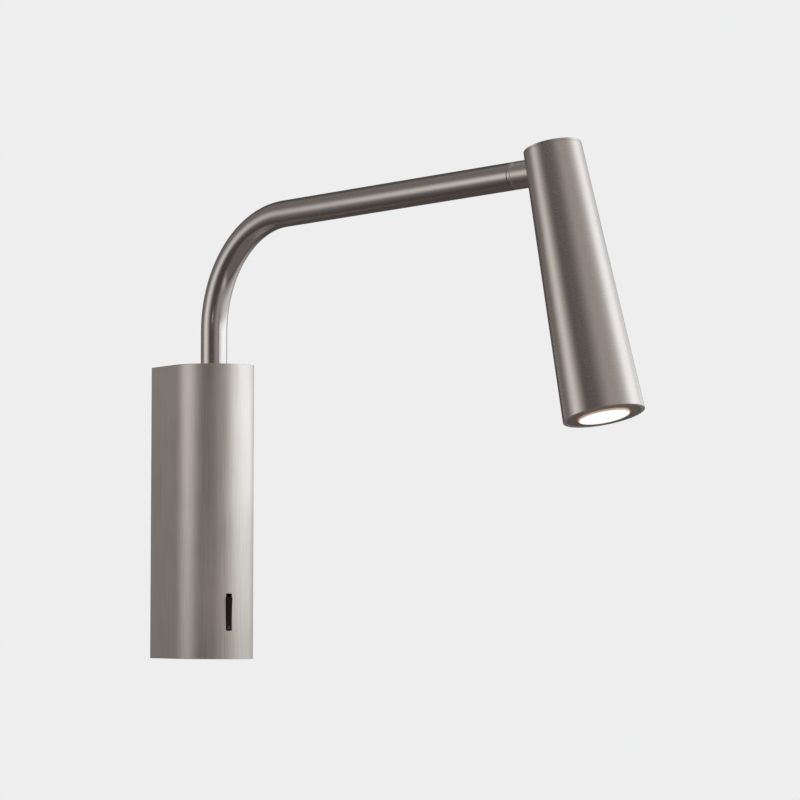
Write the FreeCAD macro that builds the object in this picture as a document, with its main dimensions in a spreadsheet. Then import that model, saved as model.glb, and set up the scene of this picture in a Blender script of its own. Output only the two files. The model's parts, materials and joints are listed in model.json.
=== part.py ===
import FreeCAD, Part
import math
import os
import re
import Sketcher

# Bedside wall reading lamp, in millimetres.
# Origin: centre of the wall bracket's screw pattern, on the wall plane.
# +Y goes into the wall, +Z is up, and the room is at -Y.
# A tall housing with a round front carries a bent tube arm that swings about a vertical
# axis. At the arm's end a short collar rolls about the arm and carries a tapered head.

# Driving sizes: name, value, what it is. Angles are in degrees.
SIZES = [
    ("housing_width", 49, "outside width of the housing"),
    ("housing_depth", 64, "wall to the front of the housing"),
    ("housing_height", 178, "height of the housing"),
    ("housing_wall", 2, "wall of the housing extrusion"),
    ("cap_thickness", 6, "thickness of both end caps"),
    ("cap_gap", 0.05, "gap between a cap and the housing wall"),
    ("sheet", 1.5, "chassis and switch bracket sheet"),
    ("chassis_side_gap", 4.5, "chassis edge to the housing's inner side"),
    ("swivel_room", 16, "arm axis to the front of the chassis web"),
    ("chassis_nose", 12.5, "arm axis to the front edge of the chassis flanges"),
    ("hook_depth", 4.5, "how far the chassis lip hangs below its flange"),
    ("hook_stand", 3, "wall to the back of the chassis lip"),
    ("bracket_sheet", 2, "sheet of the wall bracket"),
    ("bracket_side_gap", 2, "wall bracket edge to the housing's inner side"),
    ("hook_channel", 5.2, "wall to the inside of the bracket's hook lip"),
    ("hook_clearance", 0.5, "hook lip to the chassis flange above it"),
    ("foot_reach", 16, "how far the bracket's foot stands out from the wall"),
    ("foot_gap", 1, "bracket foot to the bottom cap"),
    ("wall_screw_spacing", 100, "between the two wall screws"),
    ("wall_slot_width", 5, "width of the wall screw slots"),
    ("wall_slot_length", 9, "end to end length of the wall screw slots"),
    ("cable_drop", 34, "screw pattern centre down to the cable entry"),
    ("cable_bore", 4.5, "radius of the cable entry"),
    ("grommet_neck", 6.5, "radius of the grommet in the bracket"),
    ("grommet_flange", 8.5, "radius of the grommet's flange"),
    ("grommet_flange_depth", 2, "thickness of the grommet's flange"),
    ("foot_screw_spacing", 22, "between the two housing screws"),
    ("foot_screw_stand", 9, "wall to the housing screws"),
    ("chassis_screw_inset", 3.5, "edge of the chassis to its screws"),
    ("chassis_screw_room", 4.5, "front of the chassis web to its screws"),
    ("screw_radius", 1.5, "M3 thread radius"),
    ("screw_hole_gap", 0.1, "radial gap of a screw in a clearance hole"),
    ("screw_head", 2.75, "radius of an M3 head"),
    ("screw_head_height", 2, "height of an M3 head"),
    ("screw_socket", 1, "radius of the socket in an M3 head"),
    ("screw_socket_depth", 1.1, "depth of that socket"),
    ("screw_bite", 3.5, "thread engagement of the chassis screws"),
    ("screw_tip_room", 0.5, "space past a screw's tip in a blind hole"),
    ("tube_radius", 8, "outside radius of the arm tube"),
    ("tube_wall", 1.5, "wall of the arm tube"),
    ("tube_rise", 21, "straight tube above the housing"),
    ("bend_radius", 67.5, "centreline radius of the arm's bend"),
    ("arm_length", 230, "end of the bend to the head's axis"),
    ("arm_slope", 2.4, "rise of the arm above level"),
    ("arm_swing", 17, "how far the arm stands swung to +X"),
    ("swing_limit", 90, "swing each way from straight out"),
    ("running_gap", 0.05, "radial and axial gap of a running fit"),
    ("mouth_gap", 0.25, "gap round the tube where it enters the top cap"),
    ("cap_lip", 1.5, "top cap left above the swivel bush"),
    ("bush_radius", 10, "outside radius of the swivel bush"),
    ("bush_floor", 1.5, "thickness of the swivel bush's floor"),
    ("foot_spindle", 5, "radius of the arm foot's spindle"),
    ("foot_bore", 2.5, "radius of the wire bore in the arm foot"),
    ("foot_collar", 1.5, "height of the collar under the tube's end"),
    ("foot_plug", 13.5, "length of the foot brazed into the tube"),
    ("foot_drop", 12.1, "spindle below the bush"),
    ("braze_gap", 0.05, "gap between an insert and the tube"),
    ("retainer_radius", 11.3, "outside radius of the retaining washer"),
    ("washer_thickness", 1, "thickness of the plain washers"),
    ("washer_gap", 0.2, "gap between a washer and its spindle"),
    ("stop_pin_radius", 1.3, "radius of the swing stop pin"),
    ("stop_pin_ring", 13.3, "arm axis to the stop pin"),
    ("stop_pin_bite", 2.5, "stop pin length inside the top cap"),
    ("stop_hub", 11.5, "radius of the stop disc in its notch"),
    ("stop_rim", 15, "radius of the stop disc's rim"),
    ("stop_thickness", 2, "thickness of the stop disc"),
    ("stop_margin", 6, "notch beyond the swing limit, for the pin"),
    ("spring_radius", 9.2, "outside radius of the disc spring"),
    ("spring_thickness", 0.5, "sheet of the disc spring"),
    ("spring_lift", 0.5, "dish of the disc spring"),
    ("swivel_nut_corner", 9.2, "corner radius of the swivel nut"),
    ("swivel_nut_height", 6, "height of the swivel nut"),
    ("collar_reach", 32.3, "head axis to the collar's end at the seam"),
    ("collar_seat", 12, "head axis to the collar's end in the head"),
    ("collar_edge", 0.3, "chamfer of the collar at the seam"),
    ("collar_line", 2.7, "seam to the fine line turned in the collar"),
    ("line_width", 0.3, "width of the fine lines turned in the collar and the head"),
    ("line_depth", 0.2, "depth of those lines"),
    ("seam_gap", 0.2, "gap between the collar and the tube's end"),
    ("insert_length", 18, "length of the arm's end insert"),
    ("insert_recess", 5.6, "radius of the recess for the friction washer"),
    ("insert_recess_depth", 1, "depth of that recess"),
    ("friction_radius", 5.5, "outside radius of the friction washer"),
    ("roll_spindle_radius", 4, "radius of the roll spindle"),
    ("roll_spindle_bore", 2, "radius of its wire bore"),
    ("roll_spindle_start", 6, "head axis to the spindle's inner end"),
    ("roll_spindle_end", 55, "head axis to the spindle's outer end"),
    ("roll_washer_radius", 6.2, "outside radius of the spindle washer"),
    ("roll_nut_corner", 6.1, "corner radius of the spindle nut"),
    ("roll_nut_height", 4, "height of the spindle nut"),
    ("head_lean", 12.5, "head axis off square to the arm"),
    ("head_above", 12.9, "arm axis up to the head's top"),
    ("head_below", 144, "arm axis down to the head's mouth"),
    ("head_top_radius", 16.5, "radius of the head's top"),
    ("head_mouth_radius", 23, "radius of the head's mouth"),
    ("head_wall", 2, "wall of the head shell"),
    ("head_fit", 0.1, "gap between the head shell and what is in it"),
    ("head_edge", 0.15, "chamfer round the head's top"),
    ("head_line", 1.35, "head's top down to the fine line turned in the shell"),
    ("head_cap", 1.2, "thickness of the cap in the head's top"),
    ("head_cap_ledge", 0.5, "width of the ledge that the cap sits on"),
    ("core_below", 13, "arm axis down to the bottom of the core"),
    ("core_bore", 6.5, "radius of the wire space in the core"),
    ("core_bore_top", 4, "arm axis up to the top of the wire space"),
    ("ring_depth", 4, "depth of the front ring"),
    ("ring_recess", 0.1, "front ring behind the head's mouth"),
    ("lens_radius", 14.5, "radius of the light disc"),
    ("lens_gap", 0.1, "gap round the light disc"),
    ("lens_depth", 2.8, "thickness of the light disc"),
    ("lens_proud", 1, "light disc in front of the front ring"),
    ("lens_ledge", 1.1, "width of the ledge behind the light disc"),
    ("reflector_wall", 1, "wall of the reflector"),
    ("reflector_throat", 4.2, "inside radius of the reflector at the LED"),
    ("holder_wall", 1.5, "wall of the lens holder"),
    ("holder_radius", 16.5, "outside radius of the lens holder"),
    ("optic_length", 16, "LED board to the front ring"),
    ("board_radius", 17, "radius of the LED board"),
    ("board_thickness", 1.6, "thickness of the LED board"),
    ("chip_radius", 4, "radius of the LED"),
    ("chip_height", 1.2, "height of the LED"),
    ("board_screw_radius", 1, "M2 thread radius"),
    ("board_screw_head", 1.9, "radius of an M2 head"),
    ("board_screw_head_height", 1.4, "height of an M2 head"),
    ("board_screw_ring", 11, "head axis to the board screws"),
    ("board_screw_bite", 4, "board screw length in the heat sink"),
    ("sink_flange", 6, "thickness of the heat sink's flange"),
    ("sink_core", 7, "radius of the heat sink between its fins"),
    ("sink_fin_radius", 16, "radius of the heat sink's fins"),
    ("sink_fin", 1.6, "thickness of a fin"),
    ("sink_pitch", 5, "spacing of the fins"),
    ("sink_bore", 2.2, "radius of the heat sink's wire bore"),
    ("switch_height", 28.2, "bottom of the housing to the switch's centre"),
    ("slot_width", 3.8, "width of the switch slot"),
    ("slot_length", 22.3, "length of the switch slot"),
    ("slot_corner", 0.3, "corner radius of the switch slot"),
    ("rocker_side_gap", 0.2, "rocker to each side of the slot"),
    ("rocker_half_length", 9.8, "half the length of the rocker"),
    ("rocker_proud", 0.9, "rocker face outside the housing, when level"),
    ("rocker_depth", 4, "thickness of the rocker's bar"),
    ("rocker_tilt", 5, "tilt of the rocker each way"),
    ("pivot_inset", 7, "front of the housing to the rocker's pivot"),
    ("rocker_hub", 2.6, "radius of the rocker's hub"),
    ("rocker_neck", 7, "height of the rocker's neck"),
    ("pivot_radius", 1, "radius of the rocker's pin"),
    ("frame_inset", 3, "front of the housing to the switch frame"),
    ("frame_depth", 14, "depth of the switch frame"),
    ("frame_width", 12, "width of the switch frame"),
    ("frame_end", 3, "switch frame beyond its cavity, at each end"),
    ("cavity_length", 24, "length of the switch cavity"),
    ("cavity_depth", 11, "depth of the switch cavity"),
    ("blade_width", 4.8, "width of a switch blade"),
    ("blade_thickness", 0.8, "thickness of a switch blade"),
    ("blade_length", 6, "length of a switch blade"),
    ("blade_spacing", 12, "between the two switch blades"),
    ("switch_bracket_width", 12, "width of the switch bracket"),
    ("switch_bracket_reach", 33, "length of the switch bracket's arms"),
    ("wire_window", 3.5, "radius of the wire holes in the web"),
    ("lead_turn", 14, "terminal block's middle forward to the bend of the switch leads"),
    ("lead_rise", 14, "wire window up to where the live lead turns to the driver"),
    ("output_window", 52, "screw pattern centre up to the output lead's hole"),
    ("driver_width", 26, "width of the LED driver"),
    ("driver_depth", 16, "depth of the LED driver"),
    ("driver_top", 32, "screw pattern centre up to the driver's top"),
    ("driver_bottom", 22, "screw pattern centre down to its bottom"),
    ("driver_edge", 1.5, "rounding of the driver's edges"),
    ("ear_length", 7, "length of the driver's ears"),
    ("ear_thickness", 2, "thickness of the driver's ears"),
    ("ear_screw_side", 9, "middle of the driver to its screws"),
    ("block_width", 24, "width of the terminal block"),
    ("block_depth", 12, "depth of the terminal block"),
    ("block_height", 16, "height of the terminal block"),
    ("block_gap", 7.5, "terminal block above the chassis flange"),
    ("pole_spacing", 8, "spacing of the block's poles"),
    ("pole_bore", 1.6, "radius of a pole's wire hole"),
    ("clamp_radius", 1.8, "radius of a clamp screw"),
    ("clamp_slit", 0.6, "width of the slit in a clamp screw"),
    ("block_screw_radius", 1.25, "M2.5 thread radius"),
    ("block_screw_head", 2.2, "radius of an M2.5 head"),
    ("block_screw_head_height", 1.4, "height of an M2.5 head"),
    ("block_screw_rise", 5, "middle of the block to its screws"),
    ("earth_side", 13.5, "centreline to the earth screw"),
    ("earth_drop", 44, "screw pattern centre down to the earth screw"),
    ("earth_radius", 2, "M4 thread radius"),
    ("earth_head", 3.5, "radius of the earth screw's head"),
    ("earth_head_height", 2.4, "height of the earth screw's head"),
    ("lead_radius", 1.2, "radius of the two-core lead to the head"),
    ("wire_radius", 0.9, "radius of a single wire"),
    ("lead_gap", 0.3, "gap between the lead's stretches at a joint"),
    ("lead_foot_room", 3, "lead joint below the arm foot"),
    ("lead_roll_room", 1.2, "lead joint beyond the roll spindle"),
]
NAMES = {name for name, value, note in SIZES}

# Places worked out from the driving sizes, as expressions.
TOP = "housing_height / 2"
CAP_UNDER = f"({TOP} - cap_thickness)"
FLANGE_UNDER = f"({CAP_UNDER} - sheet)"
AXIS_STAND = "(housing_depth - housing_width / 2)"
WEB_FRONT = f"({AXIS_STAND} - swivel_room)"
WEB_BACK = f"({WEB_FRONT} - sheet)"
HOOK_FLOOR = f"({FLANGE_UNDER} - hook_depth)"
FOOT_UNDER = f"({CAP_UNDER} - foot_gap)"
BUSH_TOP = f"({TOP} - cap_lip)"
THRUST = f"({FLANGE_UNDER} + bush_floor)"
FOOT_BASE = f"({THRUST} + running_gap)"
TUBE_START = f"({FOOT_BASE} + foot_collar)"
SPINDLE_END = f"({FLANGE_UNDER} - foot_drop)"
STOP_TOP = f"({FLANGE_UNDER} - washer_thickness - 2 * running_gap)"
SPRING_TOP = f"({STOP_TOP} - stop_thickness)"
NUT_TOP = f"({SPRING_TOP} - spring_thickness - spring_lift)"
ARM_LEAD_START = f"({SPINDLE_END} - lead_foot_room)"
BEND_START = f"({TOP} + tube_rise)"
BEND_STAND = "(bend_radius * (1 - sin(arm_slope)))"
BEND_HEIGHT = f"({BEND_START} + bend_radius * cos(arm_slope))"
HEAD_STAND = f"({BEND_STAND} + arm_length * cos(arm_slope))"
HEAD_HEIGHT = f"({BEND_HEIGHT} + arm_length * sin(arm_slope))"
TUBE_BORE = "(tube_radius - tube_wall)"
TUBE_END = "(collar_reach + seam_gap)"
INSERT_END = f"({TUBE_END} + insert_length)"
ROLL_WASHER = f"({INSERT_END} + running_gap)"
ROLL_NUT = f"({ROLL_WASHER} + washer_thickness)"
LEAD_SEAM = "(roll_spindle_end + lead_roll_room)"
TAPER = "((head_mouth_radius - head_top_radius) / (head_above + head_below))"
CAP_SEAT = "(head_above - head_cap)"
RING_FRONT = "(ring_recess - head_below)"
RING_BACK = f"({RING_FRONT} + ring_depth)"
LENS_FRONT = f"({RING_FRONT} - lens_proud)"
LENS_BACK = f"({LENS_FRONT} + lens_depth)"
BOARD_FRONT = f"({RING_BACK} + optic_length)"
SINK_FRONT = f"({BOARD_FRONT} + board_thickness)"
SINK_SHOULDER = f"({SINK_FRONT} + sink_flange)"
SWITCH_LEVEL = f"(switch_height - {TOP})"
PIVOT_STAND = "(housing_depth - pivot_inset)"
FRAME_FRONT = "(housing_depth - frame_inset)"
FRAME_BACK = f"({FRAME_FRONT} - frame_depth)"
FRAME_HALF = "(cavity_length / 2 + frame_end)"
WINDOW_LEVEL = f"({SWITCH_LEVEL} + blade_spacing / 2 + 2.5)"
CHASSIS_WIDTH = "(housing_width - 2 * housing_wall - 2 * chassis_side_gap)"
CHASSIS_SCREW_SPACING = f"({CHASSIS_WIDTH} - 2 * chassis_screw_inset)"
CHASSIS_SCREW_STAND = f"({WEB_FRONT} + chassis_screw_room)"
BLOCK_BASE = f"(block_gap - {FLANGE_UNDER})"
BLOCK_MIDDLE = f"({BLOCK_BASE} + block_height / 2)"
BLOCK_BACK = f"(block_depth - {WEB_BACK})"
FIN_COUNT = 7
BOARD_SCREWS = 3

doc = FreeCAD.newDocument("ReadingLamp")
sheet = doc.addObject("Spreadsheet::Sheet", "Sizes")
for row, (name, value, note) in enumerate(SIZES, start=1):
    sheet.set(f"A{row}", note)
    sheet.set(f"B{row}", str(value))
    sheet.setAlias(f"B{row}", name)
doc.recompute()

pieces = []


def size(name):
    """The number in the sheet under this name."""
    return float(sheet.get(name))


def bound(text):
    """Point every size name in an expression at the sheet."""
    return re.sub(r"[a-z_]+", lambda word: f"Sizes.{word[0]}" if word[0] in NAMES else word[0], text)


def bind(thing, **properties):
    """Bind properties of an object to expressions."""
    for name, text in properties.items():
        thing.setExpression(name, bound(text))
    return thing


def place(thing, x="0", y="0", z="0", axis="0; 0; 1", angle="0", frame=None):
    """Bind an object's place, inside a frame if one is given."""
    local = bound(f"placement(vector({x}; {y}; {z}); rotation(vector({axis}); {angle}))")
    thing.setExpression("Placement", f"{frame.Name}.Placement * {local}" if frame else local)
    return thing


def frame(name, **where):
    """A named reference place that pieces are set in."""
    return place(doc.addObject("App::Placement", name), **where)


def keep(thing, label):
    """Name an object as one of the lamp's pieces."""
    thing.Label = label
    pieces.append(thing)
    return thing


def cylinder(radius, height, **where):
    """A cylinder standing on its place."""
    solid = doc.addObject("Part::Cylinder", "Cylinder")
    return place(bind(solid, Radius=radius, Height=height), **where)


def cone(low, high, height, **where):
    """A cone with its low radius at its place."""
    solid = doc.addObject("Part::Cone", "Cone")
    return place(bind(solid, Radius1=low, Radius2=high, Height=height), **where)


def prism(corner, height, **where):
    """A hexagonal prism standing on its place."""
    solid = doc.addObject("Part::Prism", "Prism")
    solid.Polygon = 6
    return place(bind(solid, Circumradius=corner, Height=height), **where)


def box(x0, x1, y0, y1, z0, z1, **where):
    """A box between two corners, cut from a frame's axes."""
    solid = doc.addObject("Part::Box", "Box")
    bind(solid, Length=f"({x1}) - ({x0})", Width=f"({y1}) - ({y0})", Height=f"({z1}) - ({z0})")
    return place(solid, x=x0, y=y0, z=z0, **where)


def joined(*solids):
    """One solid or group from several."""
    if len(solids) == 1:
        return solids[0]
    union = doc.addObject("Part::MultiFuse", "Union")
    union.Shapes = list(solids)
    return union


def carved(base, *tools):
    """A solid with others taken out of it."""
    cut = doc.addObject("Part::Cut", "Cut")
    cut.Base = base
    cut.Tool = joined(*tools)
    return cut


def group(*solids):
    """Separate solids in one piece, as for like fasteners."""
    compound = doc.addObject("Part::Compound", "Group")
    compound.Links = list(solids)
    return compound


def sketch_on(body, role, lift="0"):
    """A sketch on one of the body's own planes, lifted off it if wanted."""
    sketch = body.newObject("Sketcher::SketchObject", "Sketch")
    plane = next(item for item in body.Origin.OriginFeatures if item.Role == role)
    sketch.AttachmentSupport = [(plane, "")]
    sketch.MapMode = "FlatFace"
    sketch.setExpression("AttachmentOffset.Base.z", bound(lift))
    return sketch


def fix_point(sketch, edge, end, x=None, y=None):
    """Bind a sketch point's distances from the sketch's origin."""
    point = sketch.getPoint(edge, end)
    for kind, text, now in (("DistanceX", x, point.x), ("DistanceY", y, point.y)):
        if text is not None:
            at = sketch.addConstraint(Sketcher.Constraint(kind, -1, 1, edge, end, now))
            sketch.setExpression(f"Constraints[{at}]", bound(text))


def fix_radius(sketch, edge, text):
    """Bind the radius of a circle or arc."""
    at = sketch.addConstraint(Sketcher.Constraint("Radius", edge, sketch.Geometry[edge].Radius))
    sketch.setExpression(f"Constraints[{at}]", bound(text))


def polygon(sketch, corners):
    """A closed outline of straight edges through bound corners."""
    count = len(corners)
    first = len(sketch.Geometry)
    turn = 2 * math.pi / count
    ring = [FreeCAD.Vector(math.cos(i * turn), math.sin(i * turn), 0) for i in range(count)]
    for i in range(count):
        sketch.addGeometry(Part.LineSegment(ring[i], ring[(i + 1) % count]))
    for i in range(count):
        sketch.addConstraint(Sketcher.Constraint("Coincident", first + i, 2, first + (i + 1) % count, 1))
    for i, (x, y) in enumerate(corners):
        fix_point(sketch, first + i, 1, x, y)


def circle(sketch, radius):
    """A bound circle about the sketch's origin."""
    edge = sketch.addGeometry(Part.Circle(FreeCAD.Vector(0, 0, 0), FreeCAD.Vector(0, 0, 1), 1))
    sketch.addConstraint(Sketcher.Constraint("Coincident", edge, 3, -1, 1))
    fix_radius(sketch, edge, radius)


def turned(label, corners, **where):
    """A lathe-turned piece: corners are radius and height, spun about the upright axis."""
    body = doc.addObject("PartDesign::Body", "Turned")
    sketch = sketch_on(body, "XZ_Plane")
    polygon(sketch, corners)
    spin = body.newObject("PartDesign::Revolution", "Spin")
    spin.Profile = sketch
    spin.ReferenceAxis = (sketch, ["V_Axis"])
    spin.Angle = 360
    body.Tip = spin
    return keep(place(body, **where), label)


def folded(corners, width):
    """Sheet folded to a side view in the YZ plane, as wide as given about X = 0."""
    body = doc.addObject("PartDesign::Body", "Folded")
    sketch = sketch_on(body, "YZ_Plane")
    polygon(sketch, corners)
    pad = body.newObject("PartDesign::Pad", "Pad")
    pad.Profile = sketch
    pad.Midplane = True
    bind(pad, Length=width)
    body.Tip = pad
    return body


def round_front(sketch, half_width, back):
    """The housing's plan: straight sides and a half-round front about the arm's axis."""
    half = size("housing_width") / 2
    stand = size("housing_depth") - half
    left, right, middle = (FreeCAD.Vector(x, -stand, 0) for x in (-half, half, 0))
    arc = Part.ArcOfCircle(Part.Circle(middle, FreeCAD.Vector(0, 0, 1), half), math.pi, 2 * math.pi)
    sketch.addGeometry(Part.LineSegment(FreeCAD.Vector(-half, 0, 0), left))
    sketch.addGeometry(arc)
    sketch.addGeometry(Part.LineSegment(right, FreeCAD.Vector(half, 0, 0)))
    sketch.addGeometry(Part.LineSegment(FreeCAD.Vector(half, 0, 0), FreeCAD.Vector(-half, 0, 0)))
    for i in range(4):
        sketch.addConstraint(Sketcher.Constraint("Coincident", i, 2, (i + 1) % 4, 1))
    sketch.addConstraint(Sketcher.Constraint("Vertical", 0))
    sketch.addConstraint(Sketcher.Constraint("Vertical", 2))
    sketch.addConstraint(Sketcher.Constraint("Horizontal", 3))
    fix_point(sketch, 1, 3, x="0", y=f"-{AXIS_STAND}")
    fix_point(sketch, 1, 1, x=f"-({half_width})", y=f"-{AXIS_STAND}")
    fix_point(sketch, 1, 2, y=f"-{AXIS_STAND}")
    fix_point(sketch, 3, 1, y=back)


def padded_front(half_width, low, height):
    """A solid with the housing's plan, from a level up."""
    body = doc.addObject("PartDesign::Body", "Front")
    sketch = sketch_on(body, "XY_Plane", lift=low)
    round_front(sketch, half_width, "0")
    pad = body.newObject("PartDesign::Pad", "Pad")
    pad.Profile = sketch
    bind(pad, Length=height)
    body.Tip = pad
    return body


def head_radius(level, inset="0"):
    """Radius of the head's taper at a level, less an inset."""
    return f"(head_top_radius + (head_above - ({level})) * {TAPER} - ({inset}))"


def arm_sweep(label, start, end, radii):
    """A rod or tube along the arm: up from start, round the bend, and out to end before the head."""
    body = doc.addObject("PartDesign::Body", "Sweep")
    bend = size("bend_radius")
    rise = size("housing_height") / 2 + size("tube_rise")
    turn = math.radians(90 - size("arm_slope"))
    joint = FreeCAD.Vector(bend * (math.cos(turn) - 1), rise + bend * math.sin(turn), 0)
    along = FreeCAD.Vector(-math.sin(turn), math.cos(turn), 0)
    path = sketch_on(body, "YZ_Plane")
    path.addGeometry(Part.LineSegment(FreeCAD.Vector(0, rise - 1, 0), FreeCAD.Vector(0, rise, 0)))
    centre = Part.Circle(FreeCAD.Vector(-bend, rise, 0), FreeCAD.Vector(0, 0, 1), bend)
    path.addGeometry(Part.ArcOfCircle(centre, 0, turn))
    path.addGeometry(Part.LineSegment(joint, joint + along * size("arm_length")))
    path.addConstraint(Sketcher.Constraint("Coincident", 0, 2, 1, 1))
    path.addConstraint(Sketcher.Constraint("Coincident", 1, 2, 2, 1))
    fix_point(path, 0, 1, x="0", y=start)
    fix_point(path, 0, 2, x="0", y=BEND_START)
    fix_point(path, 1, 3, x="-bend_radius", y=BEND_START)
    fix_point(path, 1, 2, x=f"-{BEND_STAND}")
    fix_point(path, 2, 2, x=f"-{BEND_STAND} - (arm_length - ({end})) * cos(arm_slope)",
              y=f"{BEND_HEIGHT} + (arm_length - ({end})) * sin(arm_slope)")
    ring = sketch_on(body, "XY_Plane", lift=start)
    for radius in radii:
        circle(ring, radius)
    pipe = body.newObject("PartDesign::AdditivePipe", "Pipe")
    pipe.Profile = ring
    pipe.Spine = (path, ["Edge1", "Edge2", "Edge3"])
    body.Tip = pipe
    return keep(place(body, frame=arm_frame), label)


def screw(head, head_height, thread, length, **where):
    """A pan head screw: the head's underside is at its place and the thread points up."""
    top = cylinder(head, head_height, z=f"-({head_height})")
    socket = prism(f"({head}) * 0.45", f"({head_height}) * 0.55", z=f"-({head_height})")
    shank = cylinder(thread, length)
    return place(carved(joined(top, shank), socket), **where)


def m3_screw(length, **where):
    """An M3 screw of the lamp's own kind."""
    return screw("screw_head", "screw_head_height", "screw_radius", length, **where)


def wire(points, radius):
    """A wire along straight runs joined by tangent arcs, with its bend radii."""
    corners = [FreeCAD.Vector(*point) for point in points]
    at, edges, bends = corners[0], [], []
    for before, corner, after in zip(corners, corners[1:], corners[2:]):
        back = (before - corner).normalize()
        on = (after - corner).normalize()
        half_turn = (math.pi - back.getAngle(on)) / 2
        shorter = min((before - corner).Length, (after - corner).Length)
        bend = 0.45 * shorter / math.tan(half_turn)
        run_in = corner + back * (0.45 * shorter)
        run_out = corner + on * (0.45 * shorter)
        middle = (back + on).normalize()
        crown = corner + middle * (bend / math.cos(half_turn) - bend)
        edges.append(Part.LineSegment(at, run_in).toShape())
        edges.append(Part.Arc(run_in, crown, run_out).toShape())
        bends.append(round(bend, 1))
        at = run_out
    edges.append(Part.LineSegment(at, corners[-1]).toShape())
    spine = Part.Wire(edges)
    start = Part.Circle(corners[0], corners[1] - corners[0], radius).toShape()
    return spine.makePipeShell([Part.Wire([start])], True, False), spine.Length, bends


def wires(label, routes, radius, where=None):
    """One piece of one or more wires, each along its own chosen points."""
    feature = doc.addObject("Part::Feature", "Wires")
    solids = []
    for route in routes:
        solid, length, bends = wire(route, radius)
        wanted = math.pi * radius ** 2 * length
        print(label, "bends", bends, "volume over section times length", round(solid.Volume / wanted, 4))
        solids.append(solid)
    feature.Shape = Part.makeCompound(solids) if len(solids) > 1 else solids[0]
    if where:
        feature.setExpression("Placement", f"{where.Name}.Placement")
    return keep(feature, label)


# --- Reference places -------------------------------------------------------------------
# The arm's frame stands on the swivel axis and points -Y along the arm.
arm_frame = frame("ArmFrame", y=f"-{AXIS_STAND}", angle="arm_swing")
# The roll frame has its origin where the arm's axis meets the head's, and +Z back along the arm.
roll_frame = frame("RollFrame", y=f"-{HEAD_STAND}", z=HEAD_HEIGHT, axis="1; 0; 0",
                   angle="-(90 + arm_slope)", frame=arm_frame)
# The head's frame has the same origin and +Z up the head's axis.
head_frame = frame("HeadFrame", y=f"-{HEAD_STAND}", z=HEAD_HEIGHT, axis="1; 0; 0",
                   angle="-(arm_slope + head_lean)", frame=arm_frame)
# The rocker's frame is on its pivot, turned so that its top end stands out.
rocker_frame = frame("RockerFrame", y=f"-{PIVOT_STAND}", z=SWITCH_LEVEL, axis="1; 0; 0",
                     angle="rocker_tilt")

# --- Housing ----------------------------------------------------------------------------


def housing_shell():
    """Extruded aluminium: straight sides, half-round front, open back, and the switch slot."""
    body = padded_front("housing_width / 2", f"-{TOP}", "housing_height")
    inside = sketch_on(body, "XY_Plane")
    round_front(inside, "housing_width / 2 - housing_wall", "housing_wall")
    hollow = body.newObject("PartDesign::Pocket", "Hollow")
    hollow.Profile = inside
    hollow.Type = "ThroughAll"
    hollow.Midplane = True
    outline = sketch_on(body, "XZ_Plane")
    half = "slot_width / 2"
    low, high = f"{SWITCH_LEVEL} - slot_length / 2", f"{SWITCH_LEVEL} + slot_length / 2"
    polygon(outline, [(f"-{half}", low), (half, low), (half, high), (f"-{half}", high)])
    slot = body.newObject("PartDesign::Pocket", "Slot")
    slot.Profile = outline
    slot.Type = "ThroughAll"
    slot.Midplane = True
    doc.recompute()
    reach = math.hypot(size("slot_width"), size("slot_length")) / 2
    level = size("switch_height") - size("housing_height") / 2
    corners = []
    for number, edge in enumerate(slot.Shape.Edges, start=1):
        middle = edge.CenterOfMass
        along_y = abs(edge.tangentAt(edge.FirstParameter).y) > 0.99
        if along_y and abs(math.hypot(middle.x, middle.z - level) - reach) < 0.01:
            corners.append(f"Edge{number}")
    rounding = body.newObject("PartDesign::Fillet", "SlotCorners")
    rounding.Base = (slot, corners)
    bind(rounding, Radius="slot_corner")
    body.Tip = rounding
    keep(body, "housing_shell")


def cap_blank(low):
    """A cap that drops into the end of the housing."""
    return padded_front("housing_width / 2 - housing_wall - cap_gap", low, "cap_thickness")


def side_pair(make, spacing):
    """The same thing at both sides of the middle plane."""
    return [make(x=f"{sign}({spacing}) / 2") for sign in ("-", "")]


def top_cap():
    """Machined cap with the swivel bush's seat, two blind threads and the stop pin's hole."""
    seat = cylinder("bush_radius", f"{BUSH_TOP} - {CAP_UNDER}", y=f"-{AXIS_STAND}", z=CAP_UNDER)
    mouth = cylinder("tube_radius + mouth_gap", "cap_lip", y=f"-{AXIS_STAND}", z=BUSH_TOP)
    depth = "screw_bite + screw_tip_room"
    threads = side_pair(lambda x: cylinder("screw_radius", depth, x=x, y=f"-{CHASSIS_SCREW_STAND}", z=CAP_UNDER),
                        CHASSIS_SCREW_SPACING)
    pin = cylinder("stop_pin_radius", "stop_pin_bite", y=f"stop_pin_ring - {AXIS_STAND}", z=CAP_UNDER)
    keep(carved(cap_blank(CAP_UNDER), seat, mouth, pin, *threads), "top_cap")


def bottom_cap():
    """Cap with blind threads for the chassis and counterbored holes for the housing screws."""
    depth = "screw_bite + screw_tip_room"
    level = f"-{CAP_UNDER}"
    threads = side_pair(lambda x: cylinder("screw_radius", depth, x=x, y=f"-{CHASSIS_SCREW_STAND}",
                                           z=f"{level} - ({depth})"), CHASSIS_SCREW_SPACING)
    holes = side_pair(lambda x: cylinder("screw_radius + screw_hole_gap", "cap_thickness", x=x,
                                         y="-foot_screw_stand", z=f"-{TOP}"), "foot_screw_spacing")
    sinks = side_pair(lambda x: cylinder("screw_head + screw_hole_gap", "screw_head_height", x=x,
                                         y="-foot_screw_stand", z=f"-{TOP}"), "foot_screw_spacing")
    keep(carved(cap_blank(f"-{TOP}"), *threads, *holes, *sinks), "bottom_cap")


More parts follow.
